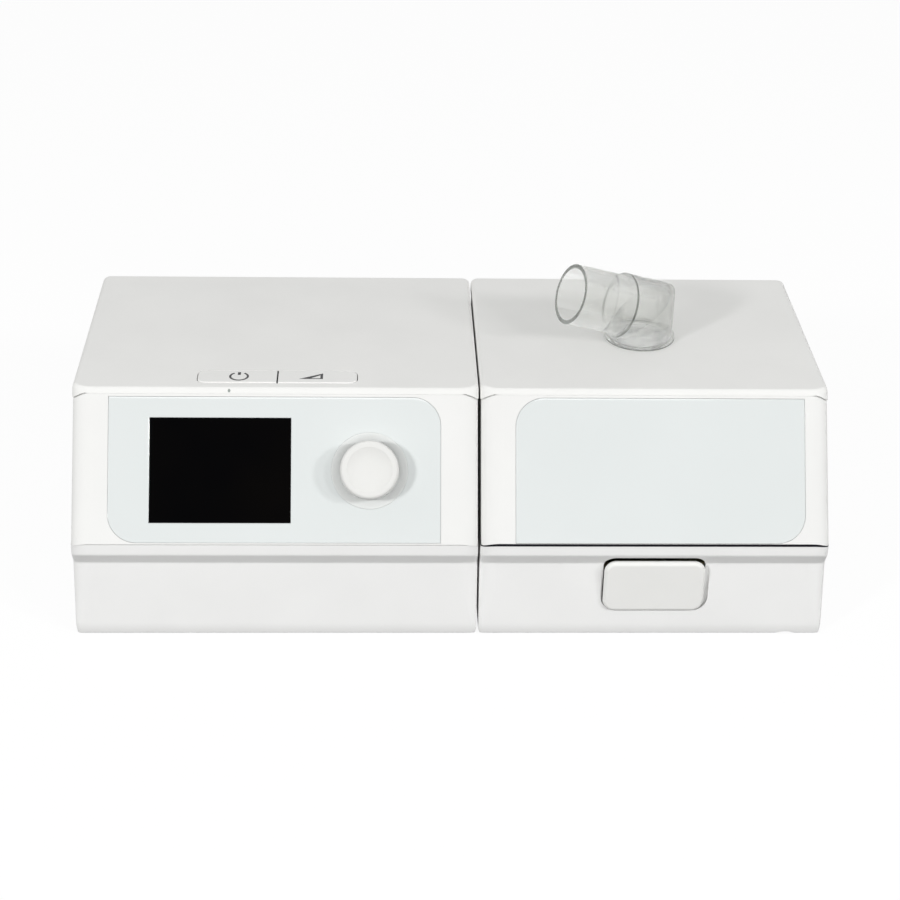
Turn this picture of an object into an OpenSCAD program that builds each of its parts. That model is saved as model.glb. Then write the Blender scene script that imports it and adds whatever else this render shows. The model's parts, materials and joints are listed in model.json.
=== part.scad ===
// Two-unit sleep therapy machine: a blower unit with a screen and a control knob on the left, and
// a heated humidifier with a hinged hood, a water tub and a clear swivel elbow on the right.
// X runs along the width, Y from the front to the back, Z up. The origin is the middle of the
// footprint, on the surface that the machine stands on.

/* [Overall] */
// Width of the blower unit
gen_w = 142; // [138:0.5:170]
// Width of the humidifier unit
hum_w = 123; // [119:0.5:150]
// Gap between the two units
unit_gap = 0.6; // [0.5:0.1:3]
// Depth from the front rim to the back wall
body_d = 124.4; // [122:0.5:150]
// Height of the joint between base and housing
seam_z = 37.1; // [35:0.1:45]
// Length of the sloping front, from the joint to the lid edge
face_len = 54.8; // [54:0.1:66]
// Angle that the front leans back from upright
face_lean = 32.5; // [26:0.5:36]
// Thickness of the side and back walls
wall = 2.5; // [1.8:0.1:3]
// Thickness of the front wall, behind the fascia too
front_wall = 3; // [2.6:0.1:3.6]
// Width of the soft corner seen from the front
corner_x = 7.5; // [4:0.5:10]
// Depth of the soft corner seen from above
corner_y = 3; // [2:0.5:4]
// Radius of the two back corners
back_r = 3; // [1:0.5:5]
// How far the housing sides are set in behind lids and bases
side_step = 0.3; // [0.1:0.1:0.6]

/* [Bases] */
// Height of the rubber feet below the base
foot_proud = 0.6; // [0.4:0.1:2]
// Radius of a rubber foot
foot_r = 6; // [4:0.5:8]
// Thickness of the base floor
floor_t = 2.2; // [1.8:0.1:3]
// Height of the rim that stands proud under the joint
rim_h = 4.1; // [3:0.1:5]
// Height of the sloped undercut below the rim
undercut_h = 2.9; // [2:0.1:4]
// Depth of the undercut
undercut_d = 1.2; // [0.6:0.1:1.6]
// How far the base sides are set in below the rim
base_step = 0.5; // [0.2:0.1:0.6]
// Width of the bottom edge's rounding
edge_w = 2.2; // [1:0.1:2.4]
// Height of the bottom edge's rounding
edge_h = 4.4; // [2:0.1:5]
// Gap between blower base and housing
shell_gap = 0.3; // [0.1:0.05:0.5]
// Gap between humidifier base and hood
hood_gap = 0.7; // [0.4:0.1:1]
// Radius of a screw post
post_r = 3.5; // [3.2:0.1:4]
// Radius of a screw shank
screw_r = 1.45; // [1:0.05:1.6]
// Radius of a screw head
screw_head_r = 2.7; // [2.3:0.1:3]

/* [Lids] */
// Thickness of the lids
lid_t = 1.7; // [1.5:0.1:2]
// Rounding of the lid edge
lid_edge = 0.9; // [0.5:0.1:1.3]
// Depth of the locating skirt under a lid
skirt_h = 3; // [2:0.5:5]
// Thickness of the locating skirt
skirt_t = 1.2; // [1:0.1:2]

/* [Fascias] */
// Thickness of a fascia
fascia_t = 1.4; // [1.2:0.1:1.8]
// Radius of the two rounded corners of a fascia
fascia_r = 10; // [6:0.5:12]
// Bottom edge of a fascia above the joint
fascia_low = 0.9; // [0.6:0.1:2]
// Height of a fascia along the front
fascia_h = 50.8; // [48:0.1:51]
// Outer margin of the blower fascia
gen_margin = 13.1; // [10:0.1:14]
// Inner margin of the blower fascia
gen_margin_in = 13.4; // [10:0.1:14]
// Outer margin of the hood fascia
hood_margin_out = 9; // [7:0.1:12]
// Inner margin of the hood fascia
hood_margin_in = 12.3; // [10:0.1:14]

/* [Screen] */
// Width of the screen glass
screen_w = 49; // [46:0.5:52]
// Height of the screen glass
screen_h = 36.6; // [34:0.2:38]
// Middle of the screen from the left side
screen_x = 51.9; // [50:0.1:56]
// Middle of screen and knob above the joint, along the front
panel_s = 26.1; // [25:0.1:27]

/* [Knob] */
// Radius of the control knob
knob_r = 9.9; // [8:0.1:11]
// Height of the control knob above the fascia
knob_h = 8; // [6:0.1:10]
// Radius of the dished face of the knob
dish_r = 7.6; // [5:0.1:8]
// Middle of the knob from the right side of the blower unit
knob_x = 38.2; // [30:0.1:40]
// Outer radius of the dished bezel round the knob
bezel_r = 13.4; // [12:0.1:15]
// Radius of the encoder shaft
shaft_r = 3; // [2.5:0.1:3.2]
// Travel of the knob when it is pressed
knob_travel = 0.6; // [0.3:0.1:0.8]

/* [Keys] */
// Width of the pair of keys
keys_w = 55.9; // [48:0.1:60]
// Depth of the keys
keys_d = 9.3; // [8:0.1:12]
// Middle of the keys from the left side
keys_x = 71.3; // [68:0.1:76]
// Front of the keys behind the lid edge
keys_y = 3.9; // [3.6:0.1:6]
// Height of the keys above the lid
keys_proud = 0.35; // [0.1:0.05:1]
// Radius of the outer corners of the keys
keys_r = 2.8; // [1:0.1:4]
// Travel of a key
key_travel = 0.5; // [0.3:0.1:0.8]

/* [Blower] */
// Outer radius of the blower scroll
blower_r = 33; // [31:0.5:36]
// Middle of the blower from the left side
blower_x = 44.8; // [40:0.1:50]
// Middle of the blower in front of the back wall
blower_y = 44.4; // [40.4:0.5:46.4]
// Height of the blower above its feet
blower_h = 37; // [36:0.5:40]
// Radius of the impeller
impeller_r = 27; // [24:0.5:29]
// Number of impeller blades
blades = 11; // [7:1:15]
// Radius of the rotor shaft
rotor_r = 2; // [1.5:0.1:2.5]
// Radius of the air coupling between the units
port_r = 9; // [7:0.1:10]
// Height of the air coupling
port_z = 22; // [21:0.1:24]
// Reach of the air coupling beyond the blower unit
port_reach = 12; // [8:0.5:14]

/* [Power inlet] */
// Radius of the mouth of the power inlet
jack_r = 3.2; // [2.5:0.1:4]
// Depth of the mouth of the power inlet
jack_mouth = 7; // [5:0.5:8]
// Middle of the power inlet from the right side of the blower unit
jack_x = 26; // [20:0.5:32]
// Height of the power inlet
jack_z = 18; // [16:0.5:20]

/* [Tub] */
// Width of the water tub
tub_w = 94; // [88:0.5:94]
// Depth of the water tub
tub_d = 90; // [84:0.5:92]
// Height of the water tub
tub_h = 41; // [36:0.5:43]
// Wall of the water tub
tub_wall = 2; // [1.5:0.1:2.5]
// Corner radius of the water tub
tub_r = 8; // [5:0.5:12]
// Front of the tub behind the front rim
tub_y = 24; // [23:0.5:26]
// Thickness of the heater plate
heater_t = 2; // [1.5:0.1:2.5]

/* [Latch] */
// Width of the latch button
latch_w = 39.5; // [30:0.5:44]
// Height of the latch button
latch_h = 21.7; // [18:0.1:22]
// Middle of the latch button from the left side of the humidifier
latch_x = 62.3; // [60:0.1:64]
// Lowest edge of the latch button
latch_z = 9.9; // [9:0.1:10.5]
// Corner radius of the latch button
latch_r = 4; // [2:0.1:5]
// How far the latch button stands out of the base front
latch_proud = 1.6; // [1.3:0.1:2]
// Travel of the latch button
latch_travel = 2.5; // [1.5:0.1:3]

/* [Hinge] */
// Radius of the hinge barrel
hinge_r = 3; // [2.5:0.1:3.5]
// Radius of the hinge pins
pin_r = 1.5; // [1:0.1:1.8]
// Length of one hinge knuckle
knuckle = 12; // [8:0.5:14]
// Distance of the hinges from the sides
hinge_in = 12; // [10:0.5:16]

/* [Elbow] */
// Outer radius of the elbow tube, the 22 mm hose standard
elbow_r = 11; // [9:0.1:11.4]
// Inner radius of the elbow tube
elbow_bore = 9.4; // [8:0.1:9.6]
// Length of the cylindrical hose end
hose_end = 20.4; // [18:0.1:22]
// Distance from the bend to the open end
elbow_len = 30.3; // [30:0.1:36]
// Outer radius of the bend behind the hose end
elbow_body_r = 11.8; // [11.5:0.1:12.3]
// Height of the bend above the lid
elbow_bend = 11.1; // [10:0.1:13]
// Rise of the tube above level
elbow_rise = 19.6; // [15:0.1:40]
// Turn of the tube towards the front
elbow_turn = 18.5; // [-30:0.1:60]
// Radius of the flange on the lid
elbow_flange_r = 12.8; // [12.4:0.1:15]
// Middle of the elbow from the left side of the humidifier
elbow_x = 60.4; // [55:0.1:68]
// Middle of the elbow behind the lid edge
elbow_y = 42.4; // [38:0.1:50]
// Depth of the spigot in its socket
spigot_h = 9; // [7:0.1:9.2]

/* [Hidden] */
$fn = 64;
fit = 0.05;        // running clearance on a radius
near = 0.3;        // gap between pieces that move apart
seat = 0.1;        // gap between pieces that are seated in each other
cut = 1;           // how far a cutting shape runs past a face
corner_n = 7;      // steps of a rounded corner
edge_n = 4;        // steps of the bottom edge's rounding

total_w = gen_w + unit_gap + hum_w;
gen_l = -total_w / 2;
gen_r = gen_l + gen_w;
hum_l = gen_r + unit_gap;
hum_r = hum_l + hum_w;
latch_out = latch_proud - undercut_d;
front_y = -(body_d + hinge_r - latch_out) / 2;
back_y = front_y + body_d;
lid_z = seam_z + face_len * cos(face_lean);
lid_y = front_y + face_len * sin(face_lean);
lid_low = lid_z - lid_t;
floor_z = foot_proud + floor_t;
face_front = front_y + undercut_d;
front_in = front_wall / cos(face_lean);

// ---- shared shapes ----

function face_y(z) = front_y + (z - seam_z) * tan(face_lean);

function arc_points(cx, cy, rx, ry, from) =
    [for (i = [0:corner_n]) let (a = from + 90 * i / corner_n)
        [cx + rx * cos(a), cy + ry * sin(a)]];

// Plan outline with soft front corners and round back corners
function outline(xa, xb, ya, yb, rx, ry, rb) = concat(
    arc_points(xa + rx, ya + ry, rx, ry, 180), arc_points(xb - rx, ya + ry, rx, ry, 270),
    arc_points(xb - rb, yb - rb, rb, rb, 0), arc_points(xa + rb, yb - rb, rb, rb, 90));

// One level of a shell, set in from its sides and front
function level(xa, xb, ya, z, side = 0, front = 0) =
    [for (p = outline(xa + side, xb - side, ya + front, back_y - side,
            max(corner_x - side, 0.5), max(corner_y - side, 0.5), max(back_r - side, 0.5)))
        [p.x, p.y, z]];

// Solid skin through a stack of levels
module loft(levels) {
    n = len(levels[0]);
    top = n * (len(levels) - 1);
    polyhedron(
        points = [for (l = levels) each l],
        faces = concat([[for (i = [0:n - 1]) i]], [[for (i = [n - 1:-1:0]) top + i]],
            [for (k = [0:len(levels) - 2], i = [0:n - 1]) let (j = (i + 1) % n)
                [k * n + i, (k + 1) * n + i, (k + 1) * n + j]],
            [for (k = [0:len(levels) - 2], i = [0:n - 1]) let (j = (i + 1) % n)
                [k * n + i, (k + 1) * n + j, k * n + j]]));
}

module on_face(x, s, off = 0) {
    translate([x, front_y + s * sin(face_lean) - off * cos(face_lean),
            seam_z + s * cos(face_lean) + off * sin(face_lean)])
        rotate([90 - face_lean, 0, 0]) children();
}

// Box between two corners
module span(a, b) {
    translate(a) cube(b - a);
}

module tube(r, bore, h) {
    difference() {
        cylinder(r = r, h = h);
        translate([0, 0, -cut]) cylinder(r = bore, h = h + 2 * cut);
    }
}

module along_x(p) {
    translate(p) rotate([0, 90, 0]) children();
}

module along_y(p) {
    translate(p) rotate([-90, 0, 0]) children();
}

// Leaf-shaped panel: two opposite corners round, the others square
module leaf(w, h, r, t, rising) {
    round_a = rising ? [[w - r, h - r, 0], [r, r, 180]] : [[r, h - r, 90], [w - r, r, 270]];
    square_a = rising ? [[0, h], [w, 0]] : [[w, h], [0, 0]];
    first = rising ? concat(arc_points(round_a[0].x, round_a[0].y, r, r, 0), [square_a[0]])
        : concat([square_a[0]], arc_points(round_a[0].x, round_a[0].y, r, r, 90));
    second = rising ? concat(arc_points(round_a[1].x, round_a[1].y, r, r, 180), [square_a[1]])
        : concat([square_a[1]], arc_points(round_a[1].x, round_a[1].y, r, r, 270));
    linear_extrude(t) polygon(concat(first, second));
}

module round_slab(w, h, r, t) {
    linear_extrude(t) polygon(concat(
        arc_points(w / 2 - r, h / 2 - r, r, r, 0), arc_points(r - w / 2, h / 2 - r, r, r, 90),
        arc_points(r - w / 2, r - h / 2, r, r, 180), arc_points(w / 2 - r, r - h / 2, r, r, 270)));
}

// Screw places of a unit, and its feet a little further in
function screw_spots(xa, xb) = [for (x = [xa + wall + post_r + near, xb - wall - post_r - near],
    y = [front_y + 16, back_y - 16]) [x, y]];
function foot_spots(xa, xb) = [for (x = [xa + 22, xb - 22], y = [front_y + 14, back_y - 14]) [x, y]];

// Outer skin of a base: rounded bottom edge, undercut front and sides, and a proud rim
module base_skin(xa, xb, gap) {
    rim_z = seam_z - rim_h;
    loft(concat(
        [for (i = [0:edge_n]) let (a = 90 * i / edge_n, inset = edge_w * (1 - sin(a)))
            level(xa, xb, face_front, foot_proud + edge_h * (1 - cos(a)), base_step + inset, inset)],
        [level(xa, xb, face_front, rim_z - undercut_h, base_step), level(xa, xb, front_y, rim_z),
            level(xa, xb, front_y, seam_z - gap / 2)]));
}

module base_hollow(xa, xb) {
    inner = undercut_d + wall;
    loft([
        level(xa, xb, front_y, floor_z, wall, inner),
        level(xa, xb, front_y, seam_z + cut, wall, inner)]);
}

// Base with hollow posts for screws that come up from below
module base_shell(xa, xb, gap, spots, radius, top) {
    difference() {
        union() {
            difference() {
                base_skin(xa, xb, gap);
                base_hollow(xa, xb);
            }
            for (p = spots) translate([p.x, p.y, floor_z - sink])
                cylinder(r = radius, h = top - floor_z + sink);
        }
        for (p = spots) translate([p.x, p.y, 0]) {
            cylinder(r = screw_r + screw_slack, h = top + cut);
            cylinder(r = screw_head_r + near, h = foot_proud + head_deep);
        }
        for (p = foot_spots(xa, xb)) translate([p.x, p.y, 0])
            cylinder(r = foot_r + seat, h = foot_proud + foot_deep);
    }
}

screw_top = 13;      // where a base post meets the post above it
screw_bite = 11;     // length of a screw in the post above
screw_slack = 0.2;   // clearance round a screw in the base
head_deep = 3.4;     // depth of a screw head in the base
foot_deep = 1;       // depth of a foot in the base
sink = 0.5;          // how far a post runs into the wall that it grows from

module feet(xa, xb) {
    for (p = foot_spots(xa, xb)) translate([p.x, p.y, 0]) {
        cylinder(r = foot_r, h = foot_proud + foot_deep);
    }
}

module screws(spots, top) {
    head_t = 2;
    low = foot_proud + head_deep - head_t;
    for (p = spots) translate([p.x, p.y, low]) difference() {
        union() {
            cylinder(r = screw_head_r, h = head_t);
            cylinder(r = screw_r, h = top - low);
        }
        translate([0, 0, -cut]) cylinder(r = 1, h = cut + 1.2, $fn = 6);
    }
}

module housing_skin(xa, xb, gap) {
    low = seam_z + gap / 2;
    loft([level(xa, xb, face_y(low), low, side_step), level(xa, xb, face_y(lid_low), lid_low, side_step)]);
}

module housing_hollow(xa, xb) {
    low = seam_z - cut;
    high = lid_low + cut;
    loft([level(xa, xb, face_y(low), low, wall, front_in),
        level(xa, xb, face_y(high), high, wall, front_in)]);
}

// Recess in the front wall for a fascia
module fascia_pocket(x, w, rising) {
    on_face(x - seat, fascia_low - seat, -fascia_t - seat)
        leaf(w + 2 * seat, fascia_h + 2 * seat, fascia_r + seat, fascia_t + 2 * cut, rising);
}

module cover_plate(xa, xb) {
    low = lid_low + seat;
    loft([
        level(xa, xb, face_y(low), low),
        level(xa, xb, face_y(lid_z - lid_edge), lid_z - lid_edge),
        level(xa, xb, face_y(lid_z - lid_edge * 0.3), lid_z - lid_edge * 0.3, lid_edge * 0.3, lid_edge * 0.1),
        level(xa, xb, lid_y, lid_z, lid_edge, lid_edge * 0.6)]);
}

// Locating skirt round the sides and back, inside the housing wall
module cover_skirt(xa, xb, z_low) {
    inner = wall + near + skirt_t;
    y_start = lid_y + keys_y + keys_d + 4;
    difference() {
        span([xa + wall + near, y_start, z_low], [xb - wall - near, back_y - wall - near, lid_low + 0.5]);
        span([xa + inner, y_start - cut, z_low - cut], [xb - inner, back_y - inner, lid_low + cut]);
    }
}

// ---- blower unit: shells ----

gen_fascia_x = gen_l + gen_margin;
gen_fascia_w = gen_w - gen_margin - gen_margin_in;
screen_cx = gen_l + screen_x;
knob_cx = gen_r - knob_x;
keys_cx = gen_l + keys_x;
blower_cx = gen_l + blower_x;
blower_cy = back_y - blower_y;
port_y = blower_cy - blower_r + port_r + 2;
jack_cx = gen_r - jack_x;
dock_y = back_y - 30;
dock_z = 14;
filter_w = 44;
filter_h = 24;
filter_z = 58;

module generator_base() {
    color("whitesmoke") difference() {
        union() {
            base_shell(gen_l, gen_r, shell_gap, screw_spots(gen_l, gen_r), post_r, screw_top);
            for (p = mount_spots()) translate([p.x, p.y, floor_z - sink])
                cylinder(r = 5, h = blower_z - mount_h - floor_z + sink);
            for (p = board_spots()) translate([p.x, p.y, floor_z - sink])
                cylinder(r = 2.5, h = board_z - floor_z + sink);
        }
        along_x([gen_r - wall - cut, port_y, port_z]) cylinder(r = port_r + seat, h = wall + 2 * cut);
        dock_tongue(gen_r - wall - cut, gen_r + cut, seat);
        for (s = [-1, 1]) along_x([gen_r - wall - cut, dock_pin_y(s), dock_pin_z])
            cylinder(r = dock_pin_r + fit, h = wall + 2 * cut);
        along_y([jack_cx, back_y - wall - cut, jack_z]) cylinder(r = jack_r + 2 + seat, h = wall + 2 * cut);
    }
}

dock_pin_r = 2.5;
dock_pin_z = dock_z + 6;
dock_w = 16;            // width of the tongue that carries the current across
dock_t = 6;             // height of that tongue
dock_reach = 4;         // reach of the tongue beyond the blower unit's side
dock_body = 6;          // depth of plug and receptacle behind the wall
dock_rim = 2;           // how far they stand out round the tongue
function dock_pin_y(s) = s < 0 ? port_y - 24 : back_y - 8;

module dock_tongue(xa, xb, grow) {
    span([xa, dock_y - dock_w / 2 - grow, dock_z - dock_t / 2 - grow],
        [xb, dock_y + dock_w / 2 + grow, dock_z + dock_t / 2 + grow]);
}

module generator_housing() {
    color("white") difference() {
        union() {
            difference() {
                housing_skin(gen_l, gen_r, shell_gap);
                housing_hollow(gen_l, gen_r);
            }
            for (p = screw_spots(gen_l, gen_r)) {
                outward = p.x < (gen_l + gen_r) / 2 ? -1 : 1;
                top = p.y < 0 ? seam_z + 8 : lid_low - 10;
                translate([p.x, p.y, screw_top + seat]) cylinder(r = post_r, h = top - screw_top);
                span([min(p.x, p.x + outward * (post_r + near + 0.5)), p.y - 1, seam_z + 1],
                    [max(p.x, p.x + outward * (post_r + near + 0.5)), p.y + 1, top]);
            }
            for (x = [gen_fascia_x + 4, knob_cx + bezel_r + 5.5], s = [9, board_top - 4])
                on_face(x, s, -board_off) cylinder(r = 2.5, h = board_off - front_wall + 0.5);
        }
        fascia_pocket(gen_fascia_x, gen_fascia_w, true);
        on_face(screen_cx - screen_w / 2 + 2, panel_s - screen_h / 2 + 2, -front_wall - cut)
            cube([screen_w - 4, screen_h - 4, front_wall + 2 * cut]);
        on_face(knob_cx, panel_s, -front_wall - cut) cylinder(r = shaft_r + 1.6, h = front_wall + 2 * cut);
        for (p = screw_spots(gen_l, gen_r))
            translate([p.x, p.y, screw_top - cut]) cylinder(r = screw_r + fit, h = 14);
        span([blower_cx - filter_w / 2, back_y - wall - cut, filter_z - filter_h / 2],
            [blower_cx + filter_w / 2, back_y + cut, filter_z + filter_h / 2]);
    }
}

module key_hole(x, grow) {
    translate([x, lid_y + keys_y + keys_d / 2, lid_low - 2])
        round_slab(keys_w + 2 * grow, keys_d + 2 * grow, keys_r + grow, lid_t + 4);
}

module generator_cover() {
    color("gainsboro") difference() {
        union() {
            cover_plate(gen_l, gen_r);
            cover_skirt(gen_l, gen_r, lid_low - skirt_h);
            for (x = key_posts()) translate([x, lid_y + keys_y + 5, key_board_z + board_t])
                cylinder(r = 2.2, h = lid_low - key_board_z - board_t + 0.5);
        }
        key_hole(keys_cx, near);
        along_y([lens_x, lid_y - 3, lid_low + lid_t / 2]) cylinder(r = lens_r + seat, h = 3 + lens_len);
    }
}

lens_x = keys_cx - 16.5;
lens_r = 0.45;
lens_len = 3;

module status_lens() {
    color("lightgreen") intersection() {
        along_y([lens_x, lid_y - 3, lid_low + lid_t / 2]) cylinder(r = lens_r, h = 3 + lens_len);
        cover_plate(gen_l, gen_r);
    }
}

module generator_fascia() {
    color("lightcyan") difference() {
        on_face(gen_fascia_x, fascia_low, -fascia_t)
            leaf(gen_fascia_w, fascia_h, fascia_r, fascia_t, true);
        on_face(screen_cx - screen_w / 2 - seat, panel_s - screen_h / 2 - seat, -fascia_t - cut)
            cube([screen_w + 2 * seat, screen_h + 2 * seat, fascia_t + 2 * cut]);
        on_face(knob_cx, panel_s, -fascia_t - cut) cylinder(r = bezel_r + seat, h = fascia_t + 2 * cut);
    }
}

module display_window() {
    color("black") on_face(screen_cx - screen_w / 2, panel_s - screen_h / 2, -fascia_t)
        cube([screen_w, screen_h, fascia_t - 0.05]);
}

board_t = 1.6;
board_off = 9.6;        // front board behind the front surface
board_top = panel_s + 17;
lcd_t = 4.2;

module display_module() {
    color("dimgray") on_face(screen_cx, panel_s, -front_wall - seat - lcd_t) difference() {
        translate([-screen_w / 2 - 4, -screen_h / 2 - 2.5, 0]) cube([screen_w + 8, screen_h + 5, lcd_t]);
        translate([-screen_w / 2 + 2, -screen_h / 2 + 2, lcd_t - 0.6])
            cube([screen_w - 4, screen_h - 4, cut + 0.6]);
    }
}

module front_board() {
    color("darkgreen") on_face(0, 0, -board_off - seat - board_t) difference() {
        translate([gen_fascia_x, 4, 0]) cube([gen_fascia_w - 2, board_top - 4, board_t]);
        translate([knob_cx, panel_s, -cut]) cylinder(r = 1, h = board_t + 2 * cut);
    }
    color("gray") on_face(screen_cx, panel_s, -board_off - seat - 0.3)
        translate([-8, -6, 0]) cube([16, 12, board_off - front_wall - lcd_t]);
}

// ---- blower unit: knob and keys ----

plunger_t = 0.7;
plunger_top = board_off - 1.7;     // depth of the plunger's top behind the front surface

module knob_bezel() {
    color("gainsboro") on_face(knob_cx, panel_s, -fascia_t) rotate_extrude($fn = 96)
        polygon([[shaft_r + 1.3, 0], [bezel_r, 0], [bezel_r, fascia_t - 0.1],
            [bezel_r - 0.4, fascia_t - 0.1], [bezel_r - 2.2, fascia_t - 0.8],
            [shaft_r + 1.3, fascia_t - 0.8]]);
}

module encoder_body() {
    color("silver") on_face(knob_cx, panel_s, -board_off) difference() {
        union() {
            translate([-6.2, -6.2, 0]) cube([12.4, 12.4, board_off - front_wall - seat]);
            cylinder(r = shaft_r + 0.9, h = board_off - 1);
        }
        translate([0, 0, 1.5]) cylinder(r = shaft_r + fit, h = board_off);
        translate([0, 0, 0.25]) cylinder(r = shaft_r + 1.5, h = board_off - plunger_top + 0.1);
    }
}

module encoder_plunger() {
    color("dimgray") on_face(knob_cx, panel_s, -plunger_top - plunger_t)
        cylinder(r = shaft_r + 1.2, h = plunger_t - 0.1);
}

module encoder_shaft() {
    color("silver") on_face(knob_cx, panel_s, -plunger_top) difference() {
        cylinder(r = shaft_r, h = plunger_top + knob_h - 1.6);
        translate([shaft_r - 1, -shaft_r, plunger_top + 1]) cube([2, 2 * shaft_r, knob_h]);
    }
}

module control_knob() {
    color("white") on_face(knob_cx, panel_s) difference() {
        rotate_extrude($fn = 96) polygon(concat(
            [[shaft_r + 0.02, 0.2], [knob_r - 0.3, 0.2], [knob_r, 0.5]],
            [for (a = [0:15:75]) [knob_r - 1.2 + 1.2 * cos(a), knob_h - 1.2 + 1.2 * sin(a)]],
            [[knob_r - 1.2, knob_h], [dish_r, knob_h]],
            [for (i = [1:6]) [dish_r * (1 - i / 6), knob_h - 0.9 * (1 - pow(1 - i / 6, 2))]],
            [[0, knob_h - 1.5], [shaft_r + 0.02, knob_h - 1.5]]));
    }
}

key_board_z = lid_low - 9.9;
stem_low = lid_low - 3.4;
function key_posts() = [keys_cx - keys_w / 2 - 5, keys_cx + keys_w / 2 + 5];

// One half of the pair of keys, side = -1 left or 1 right
module key_cap(side) {
    mid_y = lid_y + keys_y + keys_d / 2;
    x_in = keys_cx + side * 0.2;
    difference() {
        union() {
            translate([keys_cx, mid_y, lid_low - near])
                round_slab(keys_w, keys_d, keys_r, lid_t + near + keys_proud);
            translate([keys_cx, mid_y, lid_low - near - 1])
                round_slab(keys_w + 2, keys_d + 2, keys_r, 1.01);
        }
        if (side < 0) span([x_in, lid_y, lid_low - 5], [keys_cx + keys_w, lid_y + 40, lid_z + 5]);
        else span([keys_cx - keys_w, lid_y, lid_low - 5], [x_in, lid_y + 40, lid_z + 5]);
    }
    translate([keys_cx + side * keys_w / 4, mid_y, stem_low]) cylinder(r = 1.6, h = 2.5);
}

module power_key() {
    color("gainsboro") key_cap(-1);
}

module ramp_key() {
    color("gainsboro") key_cap(1);
}

module key_board() {
    color("darkgreen") span([keys_cx - keys_w / 2 - 9, lid_y + keys_y - 1, key_board_z],
        [keys_cx + keys_w / 2 + 9, lid_y + keys_y + keys_d + 4, key_board_z + board_t]);
}

module key_switches() {
    for (side = [-1, 1])
        translate([keys_cx + side * keys_w / 4, lid_y + keys_y + keys_d / 2, key_board_z + board_t]) {
            color("black") translate([-3, -3, 0]) cube([6, 6, 3.4]);
            color("silver") cylinder(r = 1.7, h = stem_low - key_travel - near - key_board_z - board_t);
        }
}

// ---- blower unit: electronics and connections ----

board_z = 7.5;
board_w = 44;
board_side = 4;         // main board to the blower unit's right side
board_ahead = 30;       // main board's front edge before the air outlet
board_hole = 4;         // post to the board's edges
post_pitch = 66;        // front posts to back posts
chip = [12, 12, 2];
capacitor = [10, 12, 6];
board_l = gen_r - board_side - board_w;
board_front = port_y - board_ahead;
function board_spots() = [for (x = [board_l + board_hole, board_l + board_w - board_hole],
    y = [board_front + board_hole, board_front + board_hole + post_pitch]) [x, y]];

module main_board() {
    top = board_z + board_t;
    color("darkgreen") difference() {
        span([board_l, board_front, board_z], [board_l + board_w, back_y - wall - 1, top]);
        for (p = screw_spots(gen_l, gen_r)) translate([p.x, p.y, board_z - cut])
            cylinder(r = post_r + near, h = board_t + 2 * cut);
    }
    color("black") translate([board_l + 2 * board_hole, port_y + chip.y, top - seat])
        cube([chip.x, chip.y, chip.z + seat]);
    color("silver") translate([board_l + board_w / 2 + board_hole, board_front + board_hole, top - seat])
        cube([capacitor.x, capacitor.y, capacitor.z + seat]);
}

module power_jack() {
    depth = jack_mouth + 5;
    color("black") difference() {
        union() {
            along_y([jack_cx, back_y - 0.8 - depth, jack_z]) cylinder(r = jack_r + 2, h = depth);
            span([jack_cx - 7, back_y - 0.8 - depth, board_z + board_t + seat],
                [jack_cx + 7, back_y - wall - seat, jack_z + jack_r + 2]);
        }
        along_y([jack_cx, back_y - 0.8 - jack_mouth, jack_z]) cylinder(r = jack_r, h = jack_mouth + cut);
        along_y([jack_cx, back_y - 0.8 - depth + 1, jack_z]) difference() {
            cylinder(r = jack_r - 0.2, h = depth);
            translate([0, 0, -cut]) cylinder(r = 1, h = depth - jack_mouth - 1 + cut);
        }
    }
}

module dock_plug() {
    half = [dock_w / 2 + dock_rim, dock_t / 2 + dock_rim - 0.6];
    color("black") {
        span([gen_r - wall - dock_body, dock_y - half.x, dock_z - half.y],
            [gen_r - wall - seat, dock_y + half.x, dock_z + half.y]);
        dock_tongue(gen_r - wall - sink, gen_r + unit_gap + dock_reach, 0);
    }
}

module dock_pins() {
    color("silver") for (s = [-1, 1]) along_x([gen_r - wall - 4, dock_pin_y(s), dock_pin_z]) {
        cylinder(r = dock_pin_r, h = wall + 4 + unit_gap + wall + 3);
        cylinder(r = dock_pin_r + 1.2, h = 4 - seat);
    }
}

// ---- blower ----

mount_h = 3;
blower_z = floor_z + 5.5;
blower_top = blower_z + blower_h;
scroll_t = 2;
motor_r = 15;
motor_h = 17;
motor_z = blower_z + scroll_t;
bearing_r = 5;
bearing_t = 3;
disc_z = motor_z + motor_h + 1;
function mount_spots() = [for (a = [45:90:315])
    [blower_cx + (blower_r - 6) * cos(a), blower_cy + (blower_r - 6) * sin(a)]];

module scroll() {
    nozzle = port_r + 0.5;
    difference() {
        union() {
            translate([blower_cx, blower_cy, blower_z]) cylinder(r = blower_r, h = blower_h);
            along_x([blower_cx, port_y, port_z]) cylinder(r = nozzle, h = blower_r + 8);
        }
        translate([blower_cx, blower_cy, motor_z])
            cylinder(r = blower_r - scroll_t, h = blower_h - 2 * scroll_t);
        along_x([blower_cx, port_y, port_z]) cylinder(r = nozzle - 2, h = blower_r + 8 + cut);
        translate([blower_cx, blower_cy, blower_top - scroll_t - cut]) cylinder(r = 13, h = scroll_t + 2 * cut);
    }
}

module scroll_half(lo, hi) {
    intersection() {
        scroll();
        span([blower_cx - blower_r - 5, blower_cy - blower_r - 5, lo],
            [blower_cx + blower_r + 20, blower_cy + blower_r + 5, hi]);
    }
}

module blower_lower() {
    color("darkslategray") scroll_half(blower_z - cut, port_z - seat / 2);
}

module blower_upper() {
    color("slategray") scroll_half(port_z + seat / 2, blower_top + cut);
}

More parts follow.
